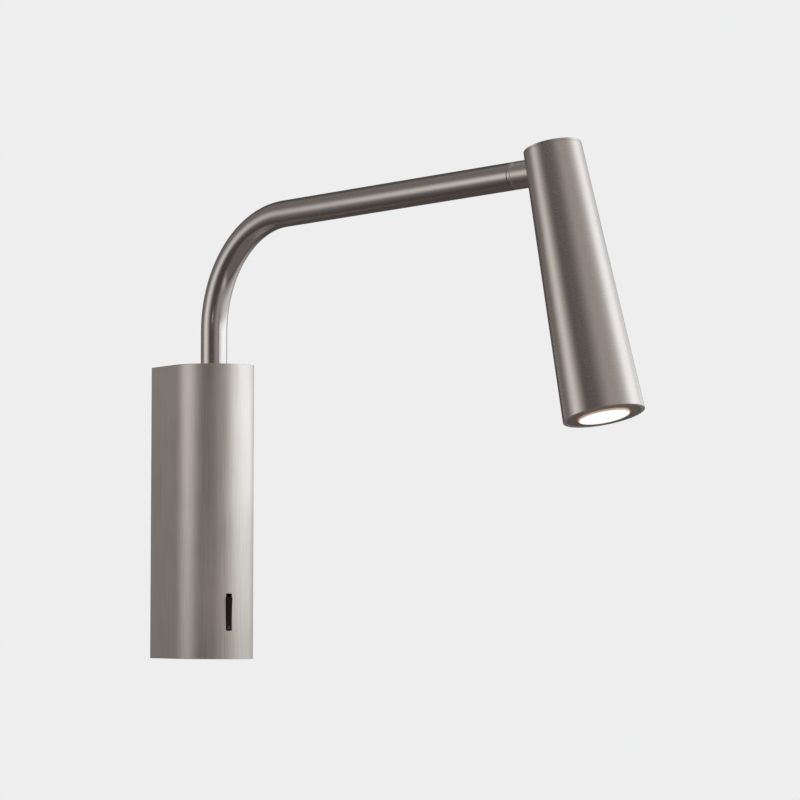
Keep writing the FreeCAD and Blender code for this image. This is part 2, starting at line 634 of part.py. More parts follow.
def chassis():
    """Folded steel channel that joins the caps, carries the works and hooks on the bracket."""
    nose = f"-({AXIS_STAND} + chassis_nose)"
    lip_back, lip_front = "-hook_stand", "-(hook_stand + sheet)"
    web_back, web_front = f"-{WEB_BACK}", f"-{WEB_FRONT}"
    body = folded([
        (lip_back, HOOK_FLOOR), (lip_back, CAP_UNDER), (nose, CAP_UNDER), (nose, FLANGE_UNDER),
        (web_front, FLANGE_UNDER), (web_front, f"-{FLANGE_UNDER}"), (nose, f"-{FLANGE_UNDER}"),
        (nose, f"-{CAP_UNDER}"), (web_back, f"-{CAP_UNDER}"), (web_back, FLANGE_UNDER),
        (lip_front, FLANGE_UNDER), (lip_front, HOOK_FLOOR)], CHASSIS_WIDTH)
    cuts = [cylinder("bush_radius", "sheet", y=f"-{AXIS_STAND}", z=FLANGE_UNDER),
            cylinder("stop_pin_radius", "sheet", y=f"stop_pin_ring - {AXIS_STAND}", z=FLANGE_UNDER)]
    for level in (FLANGE_UNDER, f"-{CAP_UNDER}"):
        cuts += side_pair(lambda x: cylinder("screw_radius + screw_hole_gap", "sheet", x=x,
                                             y=f"-{CHASSIS_SCREW_STAND}", z=level), CHASSIS_SCREW_SPACING)
    through = dict(y=f"-{WEB_BACK}", axis="1; 0; 0", angle="90")
    for level in (WINDOW_LEVEL, "output_window"):
        cuts.append(cylinder("wire_window", "sheet", z=level, **through))
    for x, level in driver_screw_places():
        cuts.append(cylinder("screw_radius", "sheet", x=x, z=level, **through))
    for level in bracket_screw_levels():
        cuts.append(cylinder("screw_radius", "sheet", z=level, **through))
    for x, level in block_screw_places():
        cuts.append(cylinder("block_screw_radius", "sheet", x=x, z=level, **through))
    cuts.append(cylinder("earth_radius", "sheet", x="earth_side", z="-earth_drop", **through))
    keep(carved(body, *cuts), "chassis")


def chassis_screws():
    """Four M3 screws, two up into the top cap and two down into the bottom cap."""
    length = "sheet + screw_bite"
    upper = side_pair(lambda x: m3_screw(length, x=x, y=f"-{CHASSIS_SCREW_STAND}", z=FLANGE_UNDER),
                      CHASSIS_SCREW_SPACING)
    lower = side_pair(lambda x: m3_screw(length, x=x, y=f"-{CHASSIS_SCREW_STAND}", z=f"-{FLANGE_UNDER}",
                                         axis="1; 0; 0", angle="180"), CHASSIS_SCREW_SPACING)
    keep(group(*upper, *lower), "chassis_screws")


def housing_screws():
    """Two M3 screws from below, through the bottom cap into the bracket's foot."""
    length = "cap_thickness - screw_head_height + foot_gap + bracket_sheet"
    pair = side_pair(lambda x: m3_screw(length, x=x, y="-foot_screw_stand",
                                        z=f"screw_head_height - {TOP}"), "foot_screw_spacing")
    keep(group(*pair), "housing_screws")


# --- Wall side --------------------------------------------------------------------------


def wall_bracket():
    """Folded steel plate: two wall slots, the cable hole, a hook channel and a foot."""
    lip_top = f"{FLANGE_UNDER} - hook_clearance"
    front, channel, outer = "-bracket_sheet", "-hook_channel", "-(hook_channel + bracket_sheet)"
    body = folded([
        ("0", f"-{FOOT_UNDER}"), ("0", lip_top), (front, lip_top), (front, HOOK_FLOOR),
        (channel, HOOK_FLOOR), (channel, lip_top), (outer, lip_top),
        (outer, f"{HOOK_FLOOR} - bracket_sheet"), (front, f"{HOOK_FLOOR} - bracket_sheet"),
        (front, f"bracket_sheet - {FOOT_UNDER}"), ("-foot_reach", f"bracket_sheet - {FOOT_UNDER}"),
        ("-foot_reach", f"-{FOOT_UNDER}")], "housing_width - 2 * housing_wall - 2 * bracket_side_gap")
    through = dict(axis="1; 0; 0", angle="90")
    cuts = [cylinder("grommet_neck", "bracket_sheet", z="-cable_drop", **through)]
    run = "(wall_slot_length - wall_slot_width) / 2"
    for sign in ("-", ""):
        level = f"{sign}wall_screw_spacing / 2"
        for end in ("-", ""):
            cuts.append(cylinder("wall_slot_width / 2", "bracket_sheet", z=f"{level} + {end}{run}", **through))
        cuts.append(box("-wall_slot_width / 2", "wall_slot_width / 2", "-bracket_sheet", "0",
                        f"{level} - {run}", f"{level} + {run}"))
    cuts += side_pair(lambda x: cylinder("screw_radius", "bracket_sheet", x=x, y="-foot_screw_stand",
                                         z=f"-{FOOT_UNDER}"), "foot_screw_spacing")
    keep(carved(body, *cuts), "wall_bracket")


def cable_grommet():
    """Rubber ring that lines the cable entry, with its flange inside the lamp."""
    depth = "(bracket_sheet + grommet_flange_depth)"
    turned("cable_grommet", [
        ("cable_bore", "0"), ("grommet_neck", "0"), ("grommet_neck", "bracket_sheet"),
        ("grommet_flange", "bracket_sheet"), ("grommet_flange", depth), ("cable_bore", depth)],
        z="-cable_drop", axis="1; 0; 0", angle="90")


def earth_screw():
    """M4 earth screw in the back of the chassis web."""
    body = screw("earth_head", "earth_head_height", "earth_radius", "sheet", x="earth_side",
                 y=f"-{WEB_BACK}", z="-earth_drop", axis="1; 0; 0", angle="90")
    keep(body, "earth_screw")


# --- Works inside the housing -----------------------------------------------------------


def driver_screw_places():
    """The driver's two screws, at opposite corners."""
    return [("ear_screw_side", "-(driver_bottom + ear_length / 2)"),
            ("-ear_screw_side", "driver_top + ear_length / 2")]


def block_screw_places():
    """The terminal block's two screws, between its poles."""
    return [("pole_spacing / 2", f"{BLOCK_MIDDLE} - block_screw_rise"),
            ("-pole_spacing / 2", f"{BLOCK_MIDDLE} + block_screw_rise")]


def bracket_screw_levels():
    """Heights of the two screws that hold the switch bracket."""
    return [f"{SWITCH_LEVEL} - 3.5", f"{SWITCH_LEVEL} - 11.5"]


def led_driver():
    """Constant-current driver in a moulded case with an ear at each end."""
    body = doc.addObject("PartDesign::Body", "DriverCase")
    plan = sketch_on(body, "XY_Plane", lift="-driver_bottom")
    half, front, back = "driver_width / 2", f"-{WEB_BACK}", f"driver_depth - {WEB_BACK}"
    polygon(plan, [(f"-{half}", front), (half, front), (half, back), (f"-{half}", back)])
    case = body.newObject("PartDesign::Pad", "Case")
    case.Profile = plan
    bind(case, Length="driver_top + driver_bottom")
    doc.recompute()
    axis = size("housing_depth") - size("housing_width") / 2
    face = size("driver_depth") + size("swivel_room") + size("sheet") - axis
    outer = [f"Edge{number}" for number, edge in enumerate(case.Shape.Edges, start=1)
             if abs(edge.CenterOfMass.y - face) < 0.01]
    rounding = body.newObject("PartDesign::Fillet", "CaseEdges")
    rounding.Base = (case, outer)
    bind(rounding, Radius="driver_edge")
    body.Tip = rounding
    ears = box(f"-{half}", half, f"-{WEB_BACK}", f"ear_thickness - {WEB_BACK}",
               "-(driver_bottom + ear_length)", "driver_top + ear_length")
    holes = [cylinder("screw_radius + screw_hole_gap", "ear_thickness", x=x, y=f"ear_thickness - {WEB_BACK}",
                      z=level, axis="1; 0; 0", angle="90") for x, level in driver_screw_places()]
    keep(carved(joined(body, ears), *holes), "led_driver")


def driver_screws():
    """Two M3 screws through the driver's ears into the web."""
    pair = [m3_screw("ear_thickness + sheet", x=x, y=f"ear_thickness - {WEB_BACK}", z=level,
                     axis="1; 0; 0", angle="90") for x, level in driver_screw_places()]
    keep(group(*pair), "driver_screws")


def terminal_block():
    """Three-pole block: a wire hole up each pole and a clamp screw from the wall side."""
    blank = box("-block_width / 2", "block_width / 2", f"-{WEB_BACK}", BLOCK_BACK,
                BLOCK_BASE, f"{BLOCK_BASE} + block_height")
    turned_over = dict(axis="1; 0; 0", angle="90")
    cuts, clamps, holders = [], [], []
    for pole in (-1, 0, 1):
        x = f"{pole} * pole_spacing"
        at = dict(x=x, y=BLOCK_BACK, z=BLOCK_MIDDLE, **turned_over)
        cuts.append(cylinder("pole_bore", "block_height", x=x, y=f"block_depth / 2 - {WEB_BACK}", z=BLOCK_BASE))
        cuts.append(cylinder("clamp_radius", "block_depth / 2", **at))
        slit = box(f"{x} - clamp_radius", f"{x} + clamp_radius", f"{BLOCK_BACK} - clamp_radius / 2", BLOCK_BACK,
                   f"{BLOCK_MIDDLE} - clamp_slit / 2", f"{BLOCK_MIDDLE} + clamp_slit / 2")
        clamps.append(carved(cylinder("clamp_radius", "block_depth / 2 - wire_radius", **at), slit))
    for x, level in block_screw_places():
        at = dict(x=x, y=BLOCK_BACK, z=level, **turned_over)
        cuts.append(cylinder("block_screw_radius + screw_hole_gap", "block_depth", **at))
        holders.append(screw("block_screw_head", "block_screw_head_height", "block_screw_radius",
                             "block_depth + sheet", **at))
    keep(carved(blank, *cuts), "terminal_block")
    keep(group(*clamps), "terminal_screws")
    keep(group(*holders), "block_screws")


def switch_frame():
    """Moulded frame of the rocker switch, with the cavity that the rocker works in."""
    half = "frame_width / 2"
    blank = box(f"-{half}", half, f"-{FRAME_FRONT}", f"-{FRAME_BACK}",
                f"{SWITCH_LEVEL} - {FRAME_HALF}", f"{SWITCH_LEVEL} + {FRAME_HALF}")
    cavity = box("-slot_width / 2", "slot_width / 2", f"-{FRAME_FRONT}", f"cavity_depth - {FRAME_FRONT}",
                 f"{SWITCH_LEVEL} - cavity_length / 2", f"{SWITCH_LEVEL} + cavity_length / 2")
    pin = cylinder("pivot_radius", "frame_width", x=f"-{half}", y=f"-{PIVOT_STAND}", z=SWITCH_LEVEL,
                   axis="0; 1; 0", angle="90")
    keep(carved(blank, cavity, pin), "switch_frame")


def switch_rocker():
    """Flat-faced rocker: a bar in the slot, a neck and a hub on the pin."""
    half = "(slot_width / 2 - rocker_side_gap)"
    face = "-(pivot_inset + rocker_proud)"
    bar = box(f"-{half}", half, face, f"{face} + rocker_depth", "-rocker_half_length", "rocker_half_length",
              frame=rocker_frame)
    neck = box(f"-{half}", half, f"{face} + rocker_depth", "0", "-rocker_neck / 2", "rocker_neck / 2",
               frame=rocker_frame)
    across = dict(x=f"-{half}", axis="0; 1; 0", angle="90", frame=rocker_frame)
    hub = cylinder("rocker_hub", f"2 * {half}", **across)
    bore = cylinder("pivot_radius + running_gap", f"2 * {half}", **across)
    keep(carved(joined(bar, neck, hub), bore), "switch_rocker")


def rocker_pin():
    """Steel pin through the switch frame."""
    pin = cylinder("pivot_radius", "frame_width", x="-frame_width / 2", y=f"-{PIVOT_STAND}", z=SWITCH_LEVEL,
                   axis="0; 1; 0", angle="90")
    keep(pin, "rocker_pin")


def switch_blades():
    """Two brass connection blades at the back of the switch."""
    blades = []
    for sign in ("-", ""):
        level = f"{SWITCH_LEVEL} + {sign}blade_spacing / 2"
        blades.append(box("-blade_width / 2", "blade_width / 2", f"-{FRAME_BACK}", f"blade_length - {FRAME_BACK}",
                          f"{level} - blade_thickness / 2", f"{level} + blade_thickness / 2"))
    keep(group(*blades), "switch_blades")


def switch_bracket():
    """Folded steel C that holds the switch frame off the web."""
    inner_low, inner_high = f"{SWITCH_LEVEL} - {FRAME_HALF}", f"{SWITCH_LEVEL} + {FRAME_HALF}"
    back, base, tip = f"-{WEB_FRONT}", f"-({WEB_FRONT} + sheet)", f"-({WEB_FRONT} + switch_bracket_reach)"
    body = folded([
        (back, f"{inner_low} - sheet"), (back, f"{inner_high} + sheet"), (tip, f"{inner_high} + sheet"),
        (tip, inner_high), (base, inner_high), (base, inner_low), (tip, inner_low),
        (tip, f"{inner_low} - sheet")], "switch_bracket_width")
    through = dict(y=back, axis="1; 0; 0", angle="90")
    cuts = [cylinder("wire_window", "sheet", z=WINDOW_LEVEL, **through)]
    for level in bracket_screw_levels():
        cuts.append(cylinder("screw_radius + screw_hole_gap", "sheet", z=level, **through))
    keep(carved(body, *cuts), "switch_bracket")
    pair = [m3_screw("2 * sheet", y=base, z=level, axis="1; 0; 0", angle="-90")
            for level in bracket_screw_levels()]
    keep(group(*pair), "switch_bracket_screws")


# --- Swivel and arm ---------------------------------------------------------------------


def swivel_bush():
    """Acetal cup in the top cap: its wall guides the tube and its floor carries the arm."""
    turned("swivel_bush", [
        ("foot_spindle + running_gap", FLANGE_UNDER), ("bush_radius", FLANGE_UNDER), ("bush_radius", BUSH_TOP),
        ("tube_radius + running_gap", BUSH_TOP), ("tube_radius + running_gap", THRUST),
        ("foot_spindle + running_gap", THRUST)], y=f"-{AXIS_STAND}")


def washer(label, inner, outer, low, thickness, **where):
    """A plain washer or ring standing on a level."""
    high = f"{low} + {thickness}"
    turned(label, [(inner, low), (outer, low), (outer, high), (inner, high)], **where)


def stop_pin():
    """Steel pin pressed through the chassis flange into the top cap."""
    low = f"({SPRING_TOP} - screw_tip_room)"
    pin = cylinder("stop_pin_radius", f"{CAP_UNDER} + stop_pin_bite - {low}",
                   y=f"stop_pin_ring - {AXIS_STAND}", z=low)
    keep(pin, "stop_pin")


def arm_foot():
    """Turned foot brazed into the tube: a collar on the bush's floor and a hollow spindle."""
    plug = f"{TUBE_BORE} - braze_gap"
    turned("arm_foot", [
        ("foot_bore", SPINDLE_END), ("foot_spindle", SPINDLE_END), ("foot_spindle", FOOT_BASE),
        ("tube_radius", FOOT_BASE), ("tube_radius", TUBE_START), (plug, TUBE_START),
        (plug, f"{TUBE_START} + foot_plug"), ("foot_bore", f"{TUBE_START} + foot_plug")], frame=arm_frame)


def stop_disc():
    """Disc pressed on the spindle, with a notch that meets the stop pin at each end of the swing."""
    level = f"{STOP_TOP} - stop_thickness"
    hub = cylinder("stop_hub", "stop_thickness", z=level, frame=arm_frame)
    half_notch = "(swing_limit + stop_margin)"
    rim = cylinder("stop_rim", "stop_thickness", z=level, angle=f"90 + {half_notch}", frame=arm_frame)
    bind(rim, Angle=f"360 - 2 * {half_notch}")
    bore = cylinder("foot_spindle", "stop_thickness", z=level, frame=arm_frame)
    keep(carved(joined(hub, rim), bore), "stop_disc")


def disc_spring():
    """Dished spring that loads the swivel."""
    inner, outer = "foot_spindle + washer_gap", "spring_radius"
    turned("disc_spring", [
        (inner, NUT_TOP), (outer, f"{NUT_TOP} + spring_lift"), (outer, SPRING_TOP),
        (inner, f"{NUT_TOP} + spring_thickness")], frame=arm_frame)


def hex_nut(label, corner, bore, low, height, **where):
    """A hexagonal nut on its thread."""
    keep(carved(prism(corner, height, z=low, **where), cylinder(bore, height, z=low, **where)), label)


def arm_end_insert():
    """Plug brazed in the tube's end, with a running bore and the friction washer's recess."""
    bore, outside = "roll_spindle_radius + running_gap", f"{TUBE_BORE} - braze_gap"
    floor = f"{TUBE_END} + insert_recess_depth"
    turned("arm_end_insert", [
        (bore, floor), ("insert_recess", floor), ("insert_recess", TUBE_END), (outside, TUBE_END),
        (outside, INSERT_END), (bore, INSERT_END)], frame=roll_frame)


def friction_washer():
    """Fibre washer between the arm's end and the collar."""
    low = "(collar_reach + running_gap)"
    washer("friction_washer", "roll_spindle_radius + screw_hole_gap", "friction_radius", low,
           "(seam_gap + insert_recess_depth - running_gap)", frame=roll_frame)


# --- Head -------------------------------------------------------------------------------


def swivel_collar():
    """Short collar that carries the head and turns against the arm's end, with a line turned in it."""
    line = "(collar_reach - collar_line)"
    turned("swivel_collar", [
        ("roll_spindle_radius", "collar_seat"), ("tube_radius", "collar_seat"),
        ("tube_radius", f"{line} - line_width / 2"), ("tube_radius - line_depth", line),
        ("tube_radius", f"{line} + line_width / 2"), ("tube_radius", "collar_reach - collar_edge"),
        ("tube_radius - collar_edge", "collar_reach"), ("roll_spindle_radius", "collar_reach")], frame=roll_frame)


def head_core():
    """Tapered plug in the head's top that the collar and its spindle are fixed in."""
    inset = "head_wall + head_fit"
    blank = cone(head_radius("-core_below", inset), head_radius(CAP_SEAT, inset), f"{CAP_SEAT} + core_below",
                 z="-core_below", frame=head_frame)
    space = cylinder("core_bore", "core_below + core_bore_top", z="-core_below", frame=head_frame)
    thread = cylinder("roll_spindle_radius", "collar_seat - roll_spindle_start + screw_bite",
                      z="roll_spindle_start - screw_bite", frame=roll_frame)
    seat = cylinder("tube_radius", "collar_reach - collar_seat", z="collar_seat", frame=roll_frame)
    keep(carved(blank, space, thread, seat), "head_core")


def head_shell():
    """Tapered aluminium tube with a line turned near its top, a cap ledge and the collar's hole."""
    body = doc.addObject("PartDesign::Body", "HeadTube")
    outline = sketch_on(body, "XZ_Plane")
    edge, line = "(head_above - head_edge)", "(head_above - head_line)"
    low, high = f"({line} - line_width / 2)", f"({line} + line_width / 2)"
    bore_top = head_radius(CAP_SEAT, "head_wall")
    polygon(outline, [
        (head_radius("-head_below"), "-head_below"), (head_radius(low), low),
        (head_radius(line, "line_depth"), line), (head_radius(high), high), (head_radius(edge), edge),
        ("head_top_radius - head_edge", "head_above"), (f"{bore_top} + head_cap_ledge", "head_above"),
        (f"{bore_top} + head_cap_ledge", CAP_SEAT), (bore_top, CAP_SEAT),
        (head_radius("-head_below", "head_wall"), "-head_below")])
    spin = body.newObject("PartDesign::Revolution", "Spin")
    spin.Profile = outline
    spin.ReferenceAxis = (outline, ["V_Axis"])
    spin.Angle = 360
    body.Tip = spin
    place(body, frame=head_frame)
    hole = cylinder("tube_radius + running_gap", "collar_reach - collar_seat", z="collar_seat",
                    frame=roll_frame)
    keep(carved(body, hole), "head_shell")


def head_cap():
    """Flat disc pressed in the head's top."""
    radius = f"{head_radius(CAP_SEAT, 'head_wall')} + head_cap_ledge - cap_gap"
    keep(cylinder(radius, "head_cap", z=CAP_SEAT, frame=head_frame), "head_cap")


def heat_sink():
    """Turned heat sink: a tapered flange that seats in the shell, a core and round fins."""
    inset = "head_wall + head_fit"
    corners = [("sink_bore", SINK_FRONT), (head_radius(SINK_FRONT, inset), SINK_FRONT),
               (head_radius(SINK_SHOULDER, inset), SINK_SHOULDER), ("sink_core", SINK_SHOULDER)]
    for fin in range(1, FIN_COUNT + 1):
        high = f"{SINK_SHOULDER} + {fin} * sink_pitch"
        corners += [("sink_core", f"{high} - sink_fin"), ("sink_fin_radius", f"{high} - sink_fin"),
                    ("sink_fin_radius", high)]
        corners.append(("sink_core" if fin < FIN_COUNT else "sink_bore", high))
    blank = turned("heat_sink", corners, frame=head_frame)
    blank.Label = "SinkBlank"
    pieces.remove(blank)
    holes = board_holes("board_screw_radius", "board_screw_bite + screw_tip_room", SINK_FRONT)
    keep(carved(blank, *holes), "heat_sink")


def board_ring(make):
    """The same thing at each of the board's screw places."""
    made = []
    for number in range(BOARD_SCREWS):
        turn = f"{number} * 360 / {BOARD_SCREWS}"
        made.append(make(f"board_screw_ring * cos({turn})", f"board_screw_ring * sin({turn})"))
    return made


def board_holes(radius, depth, low):
    """Round holes at the board's screws."""
    return board_ring(lambda x, y: cylinder(radius, depth, x=x, y=y, z=low, frame=head_frame))


def led_board():
    """Round metal-core board with clearance holes for its screws."""
    blank = cylinder("board_radius", "board_thickness", z=BOARD_FRONT, frame=head_frame)
    keep(carved(blank, *board_holes("board_screw_radius + screw_hole_gap", "board_thickness", BOARD_FRONT)),
         "led_board")
    chip = cylinder("chip_radius", "chip_height", z=f"{BOARD_FRONT} - chip_height", frame=head_frame)
    keep(chip, "led_chip")
    made = board_ring(lambda x, y: screw("board_screw_head", "board_screw_head_height", "board_screw_radius",
                                         "board_thickness + board_screw_bite", x=x, y=y, z=BOARD_FRONT,
                                         frame=head_frame))
    keep(group(*made), "board_screws")


def optics():
    """Reflector cone, lens holder, front ring and light disc, stacked from the board to the mouth."""
    rim = "holder_radius - holder_wall - head_fit"
    turned("reflector", [
        ("reflector_throat", BOARD_FRONT), ("reflector_throat + reflector_wall", BOARD_FRONT),
        (rim, RING_BACK), (f"{rim} - reflector_wall", RING_BACK)], frame=head_frame)
    washer("lens_holder", "holder_radius - holder_wall", "holder_radius", RING_BACK, "optic_length",
           frame=head_frame)
    inset = "head_wall + head_fit"
    bore, ledge = "lens_radius + lens_gap", "lens_radius + lens_gap - lens_ledge"
    turned("front_ring", [
        (bore, RING_FRONT), (head_radius(RING_FRONT, inset), RING_FRONT),
        (head_radius(RING_BACK, inset), RING_BACK),
        (ledge, RING_BACK), (ledge, LENS_BACK), (bore, LENS_BACK)], frame=head_frame)
    keep(cylinder("lens_radius", "lens_depth", z=LENS_FRONT, frame=head_frame), "light_disc")


# --- Leads ------------------------------------------------------------------------------


def base_leads():
    """The leads inside the housing, from the block to the switch, the driver and the swivel."""
    half = size("housing_height") / 2
    flange = half - size("cap_thickness") - size("sheet")
    axis = size("housing_depth") - size("housing_width") / 2
    pole = size("pole_spacing")
    web = axis - size("swivel_room") - size("sheet")
    in_block = size("block_depth") / 2 - web
    grip = size("block_gap") - flange + size("block_height") / 2
    switch = size("switch_height") - half
    window = switch + size("blade_spacing") / 2 + 2.5
    upper, lower = switch + size("blade_spacing") / 2, switch - size("blade_spacing") / 2
    blade = size("frame_inset") + size("frame_depth") + size("blade_length") - size("housing_depth")
    driver = size("driver_depth") / 2 - web
    under = -size("driver_bottom")
    side, turn = size("wire_window") - 2, in_block - size("lead_turn")
    wires("mains_leads", [
        [(-pole, in_block, grip), (-pole, in_block, window + 1), (-side, in_block - 4, window + 1),
         (-side, turn, window), (-side, blade + 7, upper), (-side, blade, upper)],
        [(0, in_block, grip), (0, in_block, window + 6), (0, driver, window + size("lead_rise")),
         (0, driver, under)]],
        size("wire_radius"))
    wires("switch_lead", [
        [(side, blade, lower), (side, blade + 7, lower), (side, turn, window - 1),
         (side, in_block - 3.5, window - 1), (pole - 2, driver, window + 6), (pole - 2, driver, under)]],
        size("wire_radius"))
    earth, drop = size("earth_side"), -size("earth_drop")
    head = size("earth_head_height") - web
    wires("earth_lead", [
        [(pole, in_block, grip), (pole, in_block, drop - 4), (earth, in_block + 1, drop), (earth, head, drop)]],
        size("wire_radius"))
    swivel = flange - size("foot_drop") - size("lead_foot_room") - size("lead_gap")
    through = size("output_window")
    wires("output_lead", [
        [(0, driver, size("driver_top")), (0, driver, through), (0, -axis, through), (0, -axis, swivel)]],
        size("lead_radius"))


def head_lead():
    """The lead in the head, from the roll spindle's end round to the LED board."""
    lean = math.radians(size("head_lean"))
    along = FreeCAD.Vector(0, math.cos(lean), math.sin(lean))
    start = size("roll_spindle_end") + size("lead_roll_room") - size("lead_gap")
    board = (size("ring_recess") - size("head_below") + size("ring_depth") + size("optic_length")
             + size("board_thickness"))
    turn = size("core_bore") - 2.5
    wires("head_lead", [
        [tuple(along * start), tuple(along * turn), (0, 0, -turn - 2), (0, 0, board)]],
        size("lead_radius"), head_frame)


# --- The lamp ---------------------------------------------------------------------------
wall_bracket()
cable_grommet()
housing_shell()
top_cap()
bottom_cap()
chassis()
chassis_screws()
housing_screws()
swivel_bush()
washer("retaining_washer", "foot_spindle + washer_gap", "retainer_radius", f"{FLANGE_UNDER} - washer_thickness",
       "washer_thickness", y=f"-{AXIS_STAND}")
stop_pin()
led_driver()
driver_screws()
terminal_block()
earth_screw()
switch_frame()
switch_rocker()
rocker_pin()
switch_blades()
switch_bracket()
base_leads()
arm_sweep("arm_tube", TUBE_START, TUBE_END, ["tube_radius", TUBE_BORE])
arm_foot()
stop_disc()
disc_spring()
hex_nut("swivel_nut", "swivel_nut_corner", "foot_spindle", f"{NUT_TOP} - swivel_nut_height", "swivel_nut_height",
        frame=arm_frame)
arm_end_insert()
friction_washer()
arm_sweep("arm_lead", ARM_LEAD_START, LEAD_SEAM, ["lead_radius"])
swivel_collar()
washer("roll_spindle", "roll_spindle_bore", "roll_spindle_radius", "roll_spindle_start",
       "(roll_spindle_end - roll_spindle_start)", frame=roll_frame)
washer("spindle_washer", "roll_spindle_radius + washer_gap", "roll_washer_radius", ROLL_WASHER, "washer_thickness",
       frame=roll_frame)
hex_nut("spindle_nut", "roll_nut_corner", "roll_spindle_radius", ROLL_NUT, "roll_nut_height", frame=roll_frame)
head_core()
head_shell()
head_cap()
heat_sink()
led_board()
optics()
head_lead()

doc.recompute()
for item in doc.Objects:
    if "Invalid" in item.State or "Error" in item.State:
        raise RuntimeError(f"{item.Label} did not recompute: {item.State}")
os.makedirs("parts", exist_ok=True)
for piece in pieces:
    shape = piece.Shape
    if shape.isNull() or not shape.isValid() or not shape.Solids:
        raise RuntimeError(f"{piece.Label} has no valid solid")
    shape.exportStep(f"parts/{piece.Label}.step")
    print(piece.Label, len(shape.Solids), round(shape.Volume, 1))
print(len(pieces), "pieces")
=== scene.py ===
"""A bedside wall reading lamp, dressed for rendering.

The lamp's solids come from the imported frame. This file gives each of them its material,
adds the finer pieces, and sets the stage, the lights and the camera.
"""
import json
import math

import bmesh
import bpy
from bpy.props import (BoolProperty, FloatProperty, FloatVectorProperty, PointerProperty,
                       StringProperty)
from mathutils import Matrix, Vector
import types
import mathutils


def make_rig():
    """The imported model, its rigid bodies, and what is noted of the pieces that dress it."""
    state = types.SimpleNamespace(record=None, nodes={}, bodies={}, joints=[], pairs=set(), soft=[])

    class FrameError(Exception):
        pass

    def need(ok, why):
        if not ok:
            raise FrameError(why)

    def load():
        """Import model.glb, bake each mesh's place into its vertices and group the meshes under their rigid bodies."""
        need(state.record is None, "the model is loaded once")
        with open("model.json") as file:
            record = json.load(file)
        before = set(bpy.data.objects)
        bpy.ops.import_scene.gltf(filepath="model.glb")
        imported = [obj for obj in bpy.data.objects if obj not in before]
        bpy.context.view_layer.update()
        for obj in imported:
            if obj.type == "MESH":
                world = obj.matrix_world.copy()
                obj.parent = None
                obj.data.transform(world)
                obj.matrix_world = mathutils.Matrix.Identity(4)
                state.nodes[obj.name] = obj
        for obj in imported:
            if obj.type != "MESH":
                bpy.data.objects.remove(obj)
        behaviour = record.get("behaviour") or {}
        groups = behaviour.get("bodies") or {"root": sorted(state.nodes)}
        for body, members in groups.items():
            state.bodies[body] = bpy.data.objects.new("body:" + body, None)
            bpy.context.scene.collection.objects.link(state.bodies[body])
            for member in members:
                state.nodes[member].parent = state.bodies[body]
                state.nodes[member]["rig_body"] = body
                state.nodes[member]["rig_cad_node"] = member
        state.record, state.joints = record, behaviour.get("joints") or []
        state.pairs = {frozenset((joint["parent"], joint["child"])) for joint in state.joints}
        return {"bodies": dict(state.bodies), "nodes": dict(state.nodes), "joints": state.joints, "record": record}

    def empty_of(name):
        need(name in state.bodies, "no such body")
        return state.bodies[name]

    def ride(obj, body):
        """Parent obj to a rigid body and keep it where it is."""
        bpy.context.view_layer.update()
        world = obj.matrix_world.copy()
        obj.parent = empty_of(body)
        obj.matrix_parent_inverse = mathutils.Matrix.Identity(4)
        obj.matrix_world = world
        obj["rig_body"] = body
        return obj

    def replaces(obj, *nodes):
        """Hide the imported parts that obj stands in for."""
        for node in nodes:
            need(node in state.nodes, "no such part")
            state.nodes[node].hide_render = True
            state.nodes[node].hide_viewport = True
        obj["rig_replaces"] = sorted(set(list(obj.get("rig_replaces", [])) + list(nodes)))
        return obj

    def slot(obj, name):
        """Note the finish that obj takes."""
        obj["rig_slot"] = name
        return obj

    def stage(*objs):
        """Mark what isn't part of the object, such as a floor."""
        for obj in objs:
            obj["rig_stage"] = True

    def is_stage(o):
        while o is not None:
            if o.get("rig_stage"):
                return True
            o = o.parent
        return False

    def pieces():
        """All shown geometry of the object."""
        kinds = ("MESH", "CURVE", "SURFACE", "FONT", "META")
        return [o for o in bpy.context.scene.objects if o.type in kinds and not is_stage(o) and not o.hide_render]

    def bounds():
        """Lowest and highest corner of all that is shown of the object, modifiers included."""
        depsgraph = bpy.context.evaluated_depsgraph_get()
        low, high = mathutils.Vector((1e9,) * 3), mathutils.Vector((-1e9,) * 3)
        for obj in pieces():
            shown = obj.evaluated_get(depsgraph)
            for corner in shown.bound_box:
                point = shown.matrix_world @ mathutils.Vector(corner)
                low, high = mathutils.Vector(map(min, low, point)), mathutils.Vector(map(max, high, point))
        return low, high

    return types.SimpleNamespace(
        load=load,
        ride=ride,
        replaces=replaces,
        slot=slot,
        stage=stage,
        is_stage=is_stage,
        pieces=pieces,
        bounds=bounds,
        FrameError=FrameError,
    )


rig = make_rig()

bl_info = {
    "name": "Bedside Reading Lamp",
    "version": (1, 0, 0),
    "blender": (4, 5, 0),
    "location": "View3D > Sidebar > Reading Lamp",
    "description": "Dresses a swing-arm wall reading lamp and sets its studio",
    "category": "Object",
}

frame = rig.load()
CAD_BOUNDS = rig.bounds()
JOINTS = {joint["name"]: joint for joint in frame["record"]["behaviour"]["joints"]}

MM = 0.001
MERGE = 1e-7  # metres within which doubled vertices become one
UP, RIGHT = Vector((0, 0, 1)), Vector((1, 0, 0))

SWIVEL = Vector(JOINTS["arm_swing"]["pos_m"])
HEAD_CENTRE = Vector(JOINTS["head_roll"]["pos_m"])
ARM_WAY = Vector(JOINTS["head_roll"]["axis"]).normalized()
ROCKER_PIVOT = Vector(JOINTS["switch_rock"]["pos_m"])
HEAD_LEAN = math.radians(12.5)

# The light disc: its radius, and its faces along the head's own axis from the roll centre.
DISC_RADIUS, DISC_FRONT, DISC_BACK = 14.5 * MM, -144.9 * MM, -142.1 * MM
PAINTED_GLOW_RADIUS = 17.5 * MM  # as far as the disc's glow is painted on the ring, as a warmer colour and an emission
